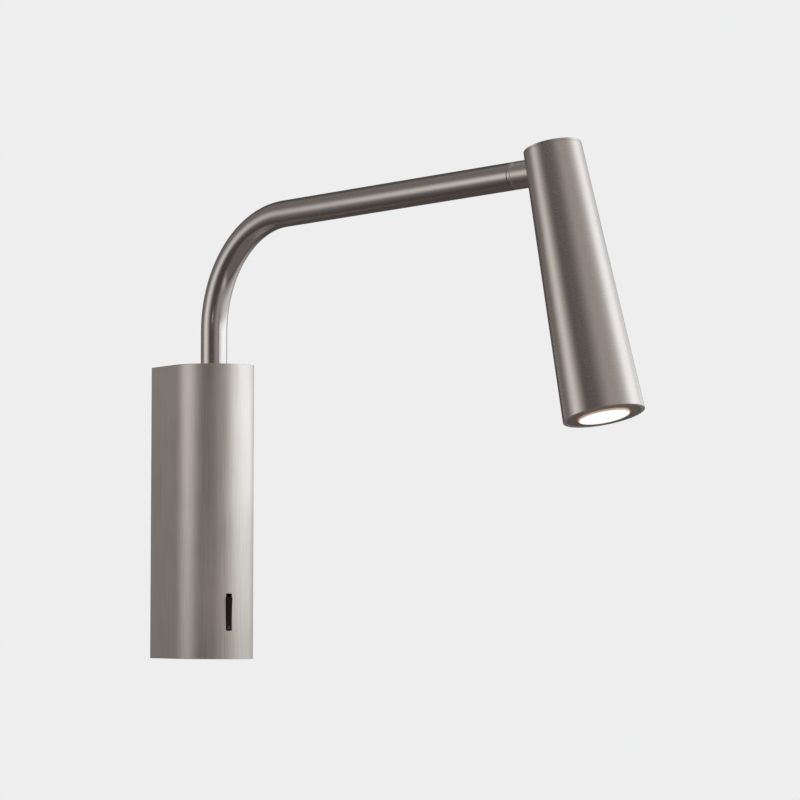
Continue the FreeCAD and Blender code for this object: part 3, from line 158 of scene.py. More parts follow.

# The rocker in millimetres: width, depth and height of its key and neck, and how far out
# from the pivot the middle of each stands.
KEY_SIZE, KEY_OUT = (3.4, 4.0, 19.6), 5.9
NECK_SIZE, NECK_OUT = (3.4, 4.2, 7.0), 1.9
HUB_RADIUS, HUB_WIDTH = 2.6, 3.4
ROCKER_TILT = math.radians(5)
# The ring mark: half the width and half the height of its line, and its place on the key.
MARK_LINE, MARK_HEIGHT = 0.16, 0.06
MARK_OUT, MARK_DROP = 7.9, 8.7

# The camera, found from the photograph's outlines: place, turn and the way that it stands
# from the lamp.
CAMERA_SPOT = (-1.020642, -2.400678, -0.059354)
CAMERA_TURN = Matrix(((0.8994898, -0.0239832, -0.436283),
                      (-0.4369343, -0.0435398, -0.8984391),
                      (0.0025518, 0.9987638, -0.0496427)))
CAMERA_BEARING = math.atan2(-0.8984, -0.4363)
CAMERA_SENSOR = 36
CAMERA_CLIP = 0.05, 50

# The studio in metres: the floor, the place and size of the two soft lights, what they face,
# and the share of the pale world that lights the lamp.
FLOOR_LEVEL, FLOOR_RADIUS = -0.55, 2.2
KEY_LIGHT = (1.9, -1.05, 0.55), 1.5, 1.9
FILL_LIGHT = (-1.7, 0.2, 0.7), 0.9, 1.6
LIT_POINT = Vector((0, -0.15, 0.05))
WORLD_SHARE = 0.55

# Soft cards that stand in a ring round the lamp, for its reflections: bearing from the camera,
# half width and softness in degrees, foot, head and softness in metres, radiance and warmth.
CARDS = {
    "left strip": (-76, 18, 45, -0.15, 0.60, 0.70, 1.13, 0.3),
    "left wall": (-110, 35, 20, -0.70, 2.50, 0.90, 0.14, 0.5),
    "upper left": (-50, 45, 40, 0.60, 2.30, 0.45, 0.08, 0.3),
    "right wall": (80, 75, 45, -1.30, 1.90, 0.90, 0.36, 0.6),
    "window": (110, 42, 50, -0.70, 2.30, 0.70, 0.50, -0.4),
    "window middle": (97, 20, 30, 0.25, 1.05, 0.15, 0.70, -0.4),
    "window bench": (97, 50, 20, 0.00, 0.33, 0.12, 0.78, -0.4),
    "front spot": (-20, 5, 8, -0.07, 0.02, 0.06, 1.40, 0.6),
    "lit floor": (15, 20, 55, -1.60, -1.20, 0.50, 0.85, 0.8),
}
WARM_RED, WARM_BLUE = 0.16, 0.12  # what a warmth of 1 adds to red and takes from blue
ROOM_X, ROOM_Y = 0.03, -0.15
ROOM_LOW, ROOM_HIGH, ROOM_REACH = -1.8, 1.9, 1.5
ROOM_GLOW = 0.11, 0.09, 0.085
FLOOR_GLOW = 0.24, 0.20, 0.19
CEILING_GLOW = 0.85, 0.84, 0.82


def head_up():
    """The head's own upward axis: square to the arm, then leaned back towards it."""
    square = (UP - ARM_WAY * ARM_WAY.z).normalized()
    return (square * math.cos(HEAD_LEAN) - ARM_WAY * math.sin(HEAD_LEAN)).normalized()


def basis(origin, up, across):
    """A matrix whose Z is up and whose X lies towards across."""
    z = up.normalized()
    x = (across - z * across.dot(z)).normalized()
    turn = Matrix((x, z.cross(x), z)).transposed().to_4x4()
    return Matrix.Translation(origin) @ turn


HEAD = basis(HEAD_CENTRE, head_up(), ARM_WAY)
ARM = basis(HEAD_CENTRE, ARM_WAY, UP)
POST = basis(SWIVEL, UP, RIGHT)


def linear(code):
    """An sRGB hex value as linear RGBA."""
    parts = [int(code[i:i + 2], 16) / 255 for i in (1, 3, 5)]
    return [c / 12.92 if c <= 0.04045 else ((c + 0.055) / 1.055) ** 2.4 for c in parts] + [1.0]


def colour(name, text, code):
    """A colour property."""
    return FloatVectorProperty(name=name, description=text, subtype="COLOR", size=3, min=0,
                               max=1, default=linear(code)[:3])


class LampFinish(bpy.types.PropertyGroup):
    """Colours and surface of the lamp."""
    metal: colour("Metal", "Warm satin nickel of the head and the caps", "#BFBCB8")
    housing: colour("Housing", "Satin nickel of the extruded housing", "#B9B6B2")
    tube: colour("Arm metal", "Smoother satin nickel of the bent tube", "#BBB9B7")
    switch: colour("Switch", "Moulded black of the rocker", "#0E0A0C")
    metal_roughness: FloatProperty(
        name="Metal roughness", description="Roughness of the brushed metal",
        default=0.25, min=0.05, max=0.8, subtype="FACTOR")
    brush_depth: FloatProperty(
        name="Brush depth", description="Strength of the brush lines",
        default=0.10, min=0, max=1, subtype="FACTOR")
    lit: BoolProperty(name="Lit", description="Whether the light disc glows", default=True)
    glow: FloatProperty(
        name="Glow", description="Strength of the light disc", default=0.6, min=0, max=20)
    lamp_colour: colour("Light", "Colour of the light disc's glow", "#FFFCF8")


class LampSizes(bpy.types.PropertyGroup):
    """Sizes of the pieces that are made here."""
    rocker_edge: FloatProperty(
        name="Rocker edge", description="Rounding of the rocker's edges",
        default=0.35 * MM, min=0, max=1 * MM, subtype="DISTANCE", unit="LENGTH")
    mark_radius: FloatProperty(
        name="Mark", description="Radius of the ring mark on the rocker",
        default=0.7 * MM, min=0.2 * MM, max=1.4 * MM, subtype="DISTANCE", unit="LENGTH")
    lens_edge: FloatProperty(
        name="Lens edge", description="Rounding of the light disc's edge",
        default=0.5 * MM, min=0, max=2 * MM, subtype="DISTANCE", unit="LENGTH")


class LampStudio(bpy.types.PropertyGroup):
    """Light and background."""
    backdrop: colour("Backdrop", "Pale grey behind the lamp", "#EEEEEF")
    key: FloatProperty(
        name="Key light", description="Power of the large soft light on the right",
        default=15, min=0, unit="POWER")
    fill: FloatProperty(
        name="Fill light", description="Power of the soft light on the left",
        default=8, min=0, unit="POWER")
    focal: FloatProperty(
        name="Focal length", description="Focal length of the camera in millimetres",
        default=190.3508, min=20, max=400)
    report: StringProperty(
        name="Size report", description="Where the two boxes are written",
        default="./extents.json", subtype="FILE_PATH")


def finish():
    return bpy.context.scene.lamp_finish


def sizes():
    return bpy.context.scene.lamp_sizes


def studio():
    return bpy.context.scene.lamp_studio


# --- Materials ----------------------------------------------------------------------------

# Grain sizes of the patterns in millimetres along each axis. Brush lines and lathe rings are
# drawn coarser than real ones, which are too fine to show.
HOUSING_BRUSH = 0.55, 0.55, 36
CAP_BRUSH = 0.35, 30, 0.35
HEAD_BRUSH = 45, 45, 0.35
TUBE_SATIN = 2.5, 2.5, 2.5
COLLAR_RINGS = 40, 40, 0.3
LATHE_RINGS = 60, 60, 0.35
FRONT_RINGS = 0.25, 0.25, 0.25
NICKEL_CLOUD = 38, 38, 38
RING_CLOUD = 30, 30, 30
ZINC_FILM = 14, 14, 14
FLOW_MARKS = 9, 9, 16
DRAWN_LINES = 0.4, 0.4, 6
BOARD_TRACKS = 7, 7, 7
PHOSPHOR_GRAIN = 0.3, 0.3, 0.3
OPAL_MILK = 3, 3, 3
FLOOR_SPECKLE = 6, 6, 6


def add(tree, kind, settings=None, links=None):
    """Add a node, set its settings and inputs, and link its inputs to sockets.

    The stops of a colour ramp are pairs of a position and a linear colour.
    """
    node = tree.nodes.new(kind)
    for name, value in (settings or {}).items():
        if name == "stops":
            table = node.color_ramp.elements
            while len(table) < len(value):
                table.new(0.5)
            for item, (at, shade) in zip(table, value):
                item.position = at
                item.color = shade
        elif isinstance(name, int) or name in node.inputs:
            node.inputs[name].default_value = value
        else:
            setattr(node, name, value)
    for name, socket in (links or {}).items():
        tree.links.new(socket, node.inputs[name])
    return node


def blank(name):
    """A new node material: its tree, shader and object coordinates."""
    material = bpy.data.materials.new(name)
    material.use_nodes = True
    tree = material.node_tree
    tree.nodes.clear()
    shader = add(tree, "ShaderNodeBsdfPrincipled")
    add(tree, "ShaderNodeOutputMaterial", links={"Surface": shader.outputs["BSDF"]})
    place = add(tree, "ShaderNodeTexCoord").outputs["Object"]
    return material, tree, shader, place


def in_axes(tree, place, axes):
    """Object coordinates turned into a piece's own axes."""
    back = axes.inverted()
    return add(tree, "ShaderNodeMapping",
               {"vector_type": "POINT", "Location": back.to_translation(),
                "Rotation": back.to_euler()}, {"Vector": place}).outputs["Vector"]


def from_axis(tree, own):
    """The distance from the Z axis of a piece's own axes."""
    flat = add(tree, "ShaderNodeVectorMath", {"operation": "MULTIPLY", 1: (1, 1, 0)}, {0: own})
    return add(tree, "ShaderNodeVectorMath", {"operation": "LENGTH"},
               {0: flat.outputs[0]}).outputs["Value"]


def stretched(tree, place, grain):
    """Coordinates in steps of a grain size in millimetres along each axis."""
    return add(tree, "ShaderNodeMapping", {"Scale": [1 / (g * MM) for g in grain]},
               {"Vector": place}).outputs[0]


def mottle(tree, place, grain, detail=2.0, rough=0.5):
    """Random light and dark, with a grain size in millimetres along each axis."""
    return add(tree, "ShaderNodeTexNoise", {"Scale": 1.0, "Detail": detail, "Roughness": rough},
               {"Vector": stretched(tree, place, grain)}).outputs["Fac"]


def blended(tree, first, share, second):
    """A share of one pattern added to another pattern, or to a number."""
    node = add(tree, "ShaderNodeMath", {"operation": "MULTIPLY_ADD", 1: share}, {0: first})
    if isinstance(second, float):
        node.inputs[2].default_value = second
    else:
        tree.links.new(second, node.inputs[2])
    return node.outputs[0]


def coloured(tree, shader, pattern, shade, low, high, stops):
    """A base colour that goes from a darker to a lighter tone of a shade with a pattern."""
    parts = linear(shade) if isinstance(shade, str) else shade
    tones = [[min(part * k, 1) for part in parts[:3]] + [1] for k in (low, high)]
    ramp = add(tree, "ShaderNodeValToRGB", {"stops": list(zip(stops, tones))}, {"Fac": pattern})
    tree.links.new(ramp.outputs["Color"], shader.inputs["Base Color"])
    return ramp.outputs["Color"]


def polished(tree, shader, pattern, low, high):
    """A roughness that goes from low to high with a pattern."""
    node = add(tree, "ShaderNodeMapRange", {"To Min": low, "To Max": high}, {"Value": pattern})
    tree.links.new(node.outputs["Result"], shader.inputs["Roughness"])


def embossed(tree, shader, height, strength, depth, edge=None):
    """Relief from a pattern, with its depth in millimetres.

    The edge is a rounding in millimetres that only the shading sees, for edges that the
    solids leave sharp.
    """
    links = {"Height": height}
    if edge:
        links["Normal"] = add(tree, "ShaderNodeBevel",
                              {"samples": 6, "Radius": edge * MM}).outputs["Normal"]
    node = add(tree, "ShaderNodeBump", {"Strength": strength, "Distance": depth * MM}, links)
    tree.links.new(node.outputs["Normal"], shader.inputs["Normal"])


def level_way(tree):
    """The level direction along an upright wall."""
    facing = add(tree, "ShaderNodeNewGeometry").outputs["Normal"]
    # The small addition gives the level end faces a direction too.
    aside = add(tree, "ShaderNodeVectorMath", {"operation": "ADD", 1: (0.03, 0.02, 0)},
                {0: facing}).outputs[0]
    return add(tree, "ShaderNodeVectorMath", {"operation": "CROSS_PRODUCT", 0: UP},
               {1: aside}).outputs[0]


def round_way(tree, place, axes):
    """The direction round the Z axis of a piece's own axes."""
    out = add(tree, "ShaderNodeVectorMath",
              {"operation": "SUBTRACT", 1: axes.to_translation()}, {0: place}).outputs[0]
    around = add(tree, "ShaderNodeVectorMath",
                 {"operation": "CROSS_PRODUCT", 0: axes.col[2].xyz}, {1: out}).outputs[0]
    return add(tree, "ShaderNodeVectorTransform",
               {"vector_type": "VECTOR", "convert_from": "OBJECT", "convert_to": "WORLD"},
               {0: around}).outputs[0]


def brushed(name, shade, grain, rough, strength, depth=0.02, axes=None, edge=0.25, blend=0.06,
            pull=0.0):
    """Brushed and satin plated metal: long fine grooves, with a faint cloudy change of tone.

    The grooves spread each highlight across the grain, so broad soft bands show. Pull is how
    much wider the highlights get: level round an upright piece, or along the axis of a turned
    one where it is negative. Depth and edge are in millimetres.
    """
    material, tree, shader, place = blank(name)
    shader.inputs["Metallic"].default_value = 1
    shader.inputs["Anisotropic"].default_value = abs(pull)
    if pull > 0:
        tree.links.new(level_way(tree), shader.inputs["Tangent"])
    if pull < 0:
        tree.links.new(round_way(tree, place, axes), shader.inputs["Tangent"])
        shader.inputs["Anisotropic Rotation"].default_value = 0.25  # a quarter turn
    if axes:
        place = in_axes(tree, place, axes)
    lines = mottle(tree, place, grain, 3, 0.6)
    cloud = mottle(tree, place, NICKEL_CLOUD)
    mixed = blended(tree, cloud, 0.3, blended(tree, lines, 0.7, 0.15))
    coloured(tree, shader, mixed, shade, 1 - blend, 1 + blend, (0.3, 0.7))
    polished(tree, shader, mixed, rough - 0.04, rough + 0.05)
    embossed(tree, shader, lines, strength, depth, edge)
    return material


def turned_metal(name, shade, rough, axes):
    """Lathe-turned metal: fine rings round the piece's own axis, which catch the light."""
    material, tree, shader, place = blank(name)
    rings = mottle(tree, in_axes(tree, place, axes), LATHE_RINGS)
    shader.inputs["Metallic"].default_value = 1
    coloured(tree, shader, rings, shade, 0.86, 1.1, (0.35, 0.65))
    polished(tree, shader, rings, rough - 0.06, rough + 0.08)
    embossed(tree, shader, rings, 0.25, 0.03, 0.15)
    return material


def plated_steel(name, shade, rough, grain=2.2):
    """Zinc plated steel: a passivated blue-grey film with faint crystals."""
    material, tree, shader, place = blank(name)
    cells = add(tree, "ShaderNodeTexVoronoi", {"Scale": 1.0, "Randomness": 1.0},
                {"Vector": stretched(tree, place, (grain,) * 3)}).outputs["Color"]
    grey = add(tree, "ShaderNodeRGBToBW", links={"Color": cells}).outputs["Val"]
    film = mottle(tree, place, ZINC_FILM, 3)
    mixed = blended(tree, grey, 0.35, film)
    shader.inputs["Metallic"].default_value = 1
    coloured(tree, shader, mixed, shade, 0.82, 1.12, (0.4, 0.9))
    polished(tree, shader, mixed, rough - 0.05, rough + 0.1)
    embossed(tree, shader, film, 0.12, 0.05, 0.15)
    return material


def moulded(name, shade, rough, grain=0.35, strength=0.2, gloss=0.5, scatter=0.0):
    """Injection-moulded plastic: a dull spark-eroded texture and slight flow marks."""
    material, tree, shader, place = blank(name)
    fine = mottle(tree, place, (grain,) * 3)
    flow = mottle(tree, place, FLOW_MARKS)
    coloured(tree, shader, flow, shade, 0.93, 1.06, (0.3, 0.7))
    polished(tree, shader, fine, rough - 0.06, rough + 0.08)
    shader.inputs["IOR"].default_value = 1.5
    shader.inputs["Specular IOR Level"].default_value = gloss
    if scatter:
        shader.inputs["Subsurface Weight"].default_value = scatter
        shader.inputs["Subsurface Scale"].default_value = 1.5 * MM
    embossed(tree, shader, fine, strength, 0.04, 0.25)
    return material


def insulated(name, shade, stripe=None):
    """Extruded wire insulation: satin, faintly drawn along, with a stripe on an earth wire."""
    material, tree, shader, place = blank(name)
    drawn = mottle(tree, place, DRAWN_LINES)
    tone = coloured(tree, shader, drawn, shade, 0.88, 1.08, (0.3, 0.7))
    if stripe:
        bands = add(tree, "ShaderNodeTexWave",
                    {"Scale": 90.0, "Distortion": 0.0, "bands_direction": "DIAGONAL"},
                    {"Vector": place}).outputs["Fac"]
        cut = add(tree, "ShaderNodeMath", {"operation": "GREATER_THAN", 1: 0.55}, {0: bands})
        tone = add(tree, "ShaderNodeMix", {"data_type": "RGBA", 7: linear(stripe)},
                   {0: cut.outputs[0], 6: tone}).outputs[2]
        tree.links.new(tone, shader.inputs["Base Color"])
    polished(tree, shader, drawn, 0.35, 0.5)
    embossed(tree, shader, drawn, 0.1, 0.03)
    return material


def circuit_board(name):
    """White solder mask on a metal-core board, with faint copper tracks under it."""
    material, tree, shader, place = blank(name)
    own = in_axes(tree, place, HEAD)
    tracks = add(tree, "ShaderNodeTexBrick",
                 {"Scale": 1.0, "Mortar Size": 0.04, "Mortar Smooth": 0.3,
                  "Color1": linear("#F1F0EC"), "Color2": linear("#ECEBE6"),
                  "Mortar": linear("#DAD6CA")},
                 {"Vector": stretched(tree, own, BOARD_TRACKS)}).outputs
    tree.links.new(tracks["Color"], shader.inputs["Base Color"])
    shader.inputs["Roughness"].default_value = 0.32
    shader.inputs["Coat Weight"].default_value = 0.3
    embossed(tree, shader, tracks["Fac"], 0.3, 0.04)
    return material


def phosphor(name):
    """Yellow phosphor dome over the LED dies, a little grainy under its gloss."""
    material, tree, shader, place = blank(name)
    grain = mottle(tree, place, PHOSPHOR_GRAIN, 4)
    tone = add(tree, "ShaderNodeValToRGB",
               {"stops": [(0.3, linear("#D9A93A")), (0.7, linear("#F0CC62"))]}, {"Fac": grain})
    tree.links.new(tone.outputs["Color"], shader.inputs["Base Color"])
    shader.inputs["Roughness"].default_value = 0.3
    shader.inputs["Coat Weight"].default_value = 0.6
    embossed(tree, shader, grain, 0.2, 0.05)
    return material


def opal_disc(name):
    """Opal acrylic light disc: an even milky glow that falls off and warms at the very edge."""
    material, tree, shader, place = blank(name)
    own = in_axes(tree, place, HEAD)
    part = add(tree, "ShaderNodeMath", {"operation": "DIVIDE", 1: DISC_RADIUS},
               {0: from_axis(tree, own)}).outputs[0]
    milk = mottle(tree, own, OPAL_MILK)
    glow = add(tree, "ShaderNodeValToRGB", {"stops": [
        (0.0, linear("#FFFFFF")), (0.94, list(finish().lamp_colour) + [1]),
        (0.978, linear("#FFE6CC")), (0.992, linear("#9A6B4A")), (1.0, linear("#5E4436"))]},
        {"Fac": blended(tree, milk, 0.03, part)})
    shader.inputs["Base Color"].default_value = linear("#F4F1EC")
    shader.inputs["Roughness"].default_value = 0.35
    shader.inputs["IOR"].default_value = 1.49
    tree.links.new(glow.outputs["Color"], shader.inputs["Emission Color"])
    shader.inputs["Emission Strength"].default_value = finish().glow if finish().lit else 0
    embossed(tree, shader, milk, 0.05, 0.05)
    return material


def front_ring_painted_glow(name):
    """Turned satin nickel of the front ring, with the light disc's glow painted on it: a warmer colour close to the
    disc, and a faint emission over the whole ring that grows towards the disc.
    """
    material, tree, shader, place = blank(name)
    own = in_axes(tree, place, HEAD)
    radius = from_axis(tree, own)
    # Painted glow mask: one at the disc's edge, fading to none at the glow's reach.
    near = add(tree, "ShaderNodeMapRange",
               {"From Min": DISC_RADIUS, "From Max": PAINTED_GLOW_RADIUS, "To Min": 1.0, "To Max": 0.0},
               {"Value": radius}).outputs["Result"]
    out = add(tree, "ShaderNodeCombineXYZ", links={"X": radius}).outputs[0]
    lathe = mottle(tree, out, FRONT_RINGS, 1)
    metal = coloured(tree, shader, lathe, finish().metal, 0.54, 0.70, (0.3, 0.7))
    # Painted glow: the base colour turns warm brown close to the disc.
    painted_glow_colour = add(tree, "ShaderNodeMix", {"data_type": "RGBA", 7: linear("#B0804F")},
               {0: near, 6: metal}).outputs[2]
    tree.links.new(painted_glow_colour, shader.inputs["Base Color"])
    # Painted glow: a faint emission over the whole ring, brighter close to the disc.
    painted_glow = add(tree, "ShaderNodeValToRGB", {"stops": [
        (0.0, linear("#120904")), (0.6, linear("#26160E")), (1.0, linear("#6A432C"))]},
        {"Fac": near})
    tree.links.new(painted_glow.outputs["Color"], shader.inputs["Emission Color"])
    shader.inputs["Emission Strength"].default_value = 1.0 if finish().lit else 0.0
    shader.inputs["Metallic"].default_value = 1
    polished(tree, shader, mottle(tree, own, RING_CLOUD), 0.38, 0.5)
    embossed(tree, shader, lathe, 0.15, 0.02, 0.2)
    return material


# --- Pieces -------------------------------------------------------------------------------


def dress(nodes, material):
    """Put one material on CAD nodes."""
    for name in nodes:
        item = frame["nodes"][name]
        item.data.materials.clear()
        item.data.materials.append(material)


def shown(name, form, material):
    """An object of a bmesh in the scene, with its material."""
    mesh = bpy.data.meshes.new(name)
    form.to_mesh(mesh)
    form.free()
    mesh.materials.append(material)
    piece = bpy.data.objects.new(name, mesh)
    bpy.context.scene.collection.objects.link(piece)
    return piece


def finished(name, form, material, body, replaced=(), slot_name=None, smooth=True):
    """Make a piece of a bmesh, with its material, body and the node that it stands for."""
    bmesh.ops.remove_doubles(form, verts=form.verts, dist=MERGE)
    bmesh.ops.recalc_face_normals(form, faces=form.faces)
    for face in form.faces:
        face.smooth = smooth
    piece = shown(name, form, material)
    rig.ride(piece, body)
    if replaced:
        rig.replaces(piece, *replaced)
    if slot_name:
        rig.slot(piece, slot_name)


def spun(outline, matrix, steps=96, closed=False):
    """A solid of revolution from points of radius and height, placed by a matrix."""
    form = bmesh.new()
    points = [form.verts.new((radius, 0, height)) for radius, height in outline]
    ends = points[1:] + points[:1] if closed else points[1:]
    edges = [form.edges.new(pair) for pair in zip(points, ends)]
    bmesh.ops.spin(form, geom=points + edges, cent=(0, 0, 0), axis=UP, angle=math.tau,
                   steps=steps, use_merge=True)
    bmesh.ops.remove_doubles(form, verts=form.verts, dist=MERGE)
    bmesh.ops.transform(form, matrix=matrix, verts=form.verts)
    return form


def block(form, size, out):
    """Add a block to a bmesh: width, depth and height, and how far out its middle stands."""
    made = bmesh.ops.create_cube(form, size=1.0)
    scale = Matrix.Diagonal([side * MM for side in size] + [1])
    bmesh.ops.transform(form, matrix=Matrix.Translation((0, -out * MM, 0)) @ scale,
                        verts=made["verts"])


class LAMP_OT_housing(bpy.types.Operator):
    """Brushed metal on the housing and its caps"""
    bl_idname = "lamp.housing"
    bl_label = "Housing"

    def execute(self, context):
        look = finish()
        dress(["housing_shell"], brushed(
            "satin nickel, brushed along the extrusion", look.housing, HOUSING_BRUSH,
            look.metal_roughness + 0.05, look.brush_depth, depth=0.12, edge=0.4, blend=0.22,
            pull=0.85))
        dress(["top_cap", "bottom_cap"], brushed(
            "satin nickel, brushed cap", look.metal, CAP_BRUSH, look.metal_roughness,
            look.brush_depth))
        return {"FINISHED"}


class LAMP_OT_arm(bpy.types.Operator):
    """Satin metal on the bent tube and the roll collar"""
    bl_idname = "lamp.arm"
    bl_label = "Arm"

    def execute(self, context):
        look = finish()
        dress(["arm_tube"], brushed(
            "satin nickel tube", look.tube, TUBE_SATIN, look.metal_roughness - 0.08,
            look.brush_depth * 0.15, edge=0.2, blend=0.02))
        dress(["swivel_collar"], brushed(
            "satin nickel, turned collar", look.tube, COLLAR_RINGS, look.metal_roughness,
            look.brush_depth, axes=ARM, edge=0.2, blend=0.04))
        dress(["arm_end_insert", "roll_spindle"],
              turned_metal("turned steel in the arm's end", "#8E8C89", 0.3, ARM))
        dress(["arm_foot"], turned_metal("turned steel foot", "#8E8C89", 0.3, POST))
        return {"FINISHED"}


class LAMP_OT_head(bpy.types.Operator):
    """Brushed metal on the tapered head, its cap and its front ring"""
    bl_idname = "lamp.head"
    bl_label = "Head"

    def execute(self, context):
        look = finish()
        dress(["head_shell", "head_cap"], brushed(
            "satin nickel, brushed round the head", look.metal, HEAD_BRUSH,
            look.metal_roughness, look.brush_depth * 0.28, axes=HEAD, edge=0.12, blend=0.022,
            pull=-0.7))
        # The front ring carries a painted glow from the light disc: a warm colour and a faint emission.
        dress(["front_ring"], front_ring_painted_glow("satin nickel front ring, painted glow"))
        return {"FINISHED"}


class LAMP_OT_light(bpy.types.Operator):
    """Opal light disc with a softly rounded edge, and the parts behind it"""
    bl_idname = "lamp.light"
    bl_label = "Light"

    def execute(self, context):
        edge = sizes().lens_edge
        level = DISC_FRONT + edge
        outline = [(0, DISC_BACK), (DISC_RADIUS, DISC_BACK), (DISC_RADIUS, level)]
        outline += [(DISC_RADIUS - edge + edge * math.cos(a), level - edge * math.sin(a))
                    for a in (math.pi * i / 12 for i in range(1, 7))]
        outline += [(DISC_RADIUS * k, DISC_FRONT) for k in (0.9, 0.6, 0.3)] + [(0, DISC_FRONT)]
        finished("opal_light_disc", spun(outline, HEAD), opal_disc("opal acrylic, lit"), "head",
                 ["light_disc"], "opal")
        dress(["light_disc"], opal_disc("opal acrylic"))
        dress(["led_board"], circuit_board("white solder mask"))
        dress(["led_chip"], phosphor("phosphor"))
        dress(["reflector"], moulded("white reflector", "#F2F2F0", 0.15, strength=0.05,
                                     gloss=0.7))
        return {"FINISHED"}


class LAMP_OT_switch(bpy.types.Operator):
    """Moulded rocker with rounded edges and a ring mark, and its frame"""
    bl_idname = "lamp.switch"
    bl_label = "Switch"

    def execute(self, context):
        tilt = Matrix.Translation(ROCKER_PIVOT) @ Matrix.Rotation(ROCKER_TILT, 4, "X")
        finished("rocker_key", self.key(tilt), moulded(
            "black moulded rocker", finish().switch, 0.45, grain=0.3, strength=0.15, gloss=0.18),
            "rocker", ["switch_rocker"], "switch_black", smooth=False)
        finished("rocker_mark", self.mark(tilt), moulded(
            "pad-printed ring", "#686064", 0.5, strength=0.1), "rocker",
            slot_name="switch_black")
        dress(["switch_rocker", "switch_frame"],
              moulded("black switch frame", "#1D1A19", 0.5, grain=0.4))
        return {"FINISHED"}

    def key(self, tilt):
        """The key with its rounded edges, and its neck and hub behind the slot."""
        form = bmesh.new()
        block(form, KEY_SIZE, KEY_OUT)
        bmesh.ops.bevel(form, geom=list(form.edges), offset=sizes().rocker_edge,
                        offset_type="OFFSET", segments=3, profile=0.5, affect="EDGES",
                        material=-1, clamp_overlap=True)
        block(form, NECK_SIZE, NECK_OUT)
        hub = bmesh.ops.create_cone(form, cap_ends=True, segments=48, radius1=HUB_RADIUS * MM,
                                    radius2=HUB_RADIUS * MM, depth=HUB_WIDTH * MM)
        bmesh.ops.transform(form, matrix=Matrix.Rotation(math.pi / 2, 4, "Y"),
                            verts=hub["verts"])
        bmesh.ops.transform(form, matrix=tilt, verts=form.verts)
        return form

    def mark(self, tilt):
        """The ring printed low on the key, a thin raised line."""
        outline = [(sizes().mark_radius + MARK_LINE * MM * math.cos(a),
                    MARK_HEIGHT * MM * math.sin(a)) for a in (math.tau * i / 10 for i in range(10))]
        on_key = Matrix.Translation((0, -MARK_OUT * MM, -MARK_DROP * MM))
        return spun(outline, tilt @ on_key @ Matrix.Rotation(math.pi / 2, 4, "X"), steps=40,
                    closed=True)


class LAMP_OT_works(bpy.types.Operator):
    """Finishes of the bracket, the chassis and everything inside"""
    bl_idname = "lamp.works"
    bl_label = "Works"

    def execute(self, context):
        dress(["wall_bracket", "chassis", "switch_bracket"],
              plated_steel("zinc plated sheet", "#A9AEB0", 0.34))
        dress(["retaining_washer", "stop_disc", "disc_spring", "spindle_washer", "stop_pin",
               "rocker_pin"], plated_steel("hardened washer steel", "#85868A", 0.28, 1.2))
        dress(["chassis_screws", "housing_screws", "driver_screws", "terminal_screws",
               "block_screws", "switch_bracket_screws", "board_screws", "swivel_nut",
               "spindle_nut"], plated_steel("zinc plated screws", "#B4B6B5", 0.27, 0.8))
        dress(["head_core"], turned_metal("turned aluminium core", "#C6C7C7", 0.3, HEAD))
        dress(["heat_sink"], turned_metal("turned aluminium heat sink", "#C9CACA", 0.34, HEAD))
        dress(["swivel_bush"], moulded("acetal bush", "#EDEBE5", 0.35, scatter=0.1))
        dress(["friction_washer"],
              moulded("pressed fibre", "#6A3A22", 0.75, grain=0.6, strength=0.4))
        dress(["cable_grommet"],
              moulded("black rubber", "#191918", 0.62, grain=0.5, strength=0.3))
        dress(["led_driver"], moulded("grey-white driver case", "#DADAD6", 0.5, grain=0.5))
        dress(["terminal_block"], moulded("ivory terminal block", "#E6E2D4", 0.4, scatter=0.1))
        dress(["lens_holder"], moulded("black lens holder", "#232222", 0.5))
        dress(["earth_screw", "switch_blades"],
              turned_metal("brass", "#C9A552", 0.25, Matrix.Identity(4)))
        dress(["mains_leads", "switch_lead"], insulated("brown insulation", "#6B4127"))
        dress(["earth_lead"], insulated("green and yellow insulation", "#4E8C2B", "#D8C93A"))
        dress(["output_lead", "arm_lead", "head_lead"], insulated("white sheath", "#D5D4D0"))
        return {"FINISHED"}


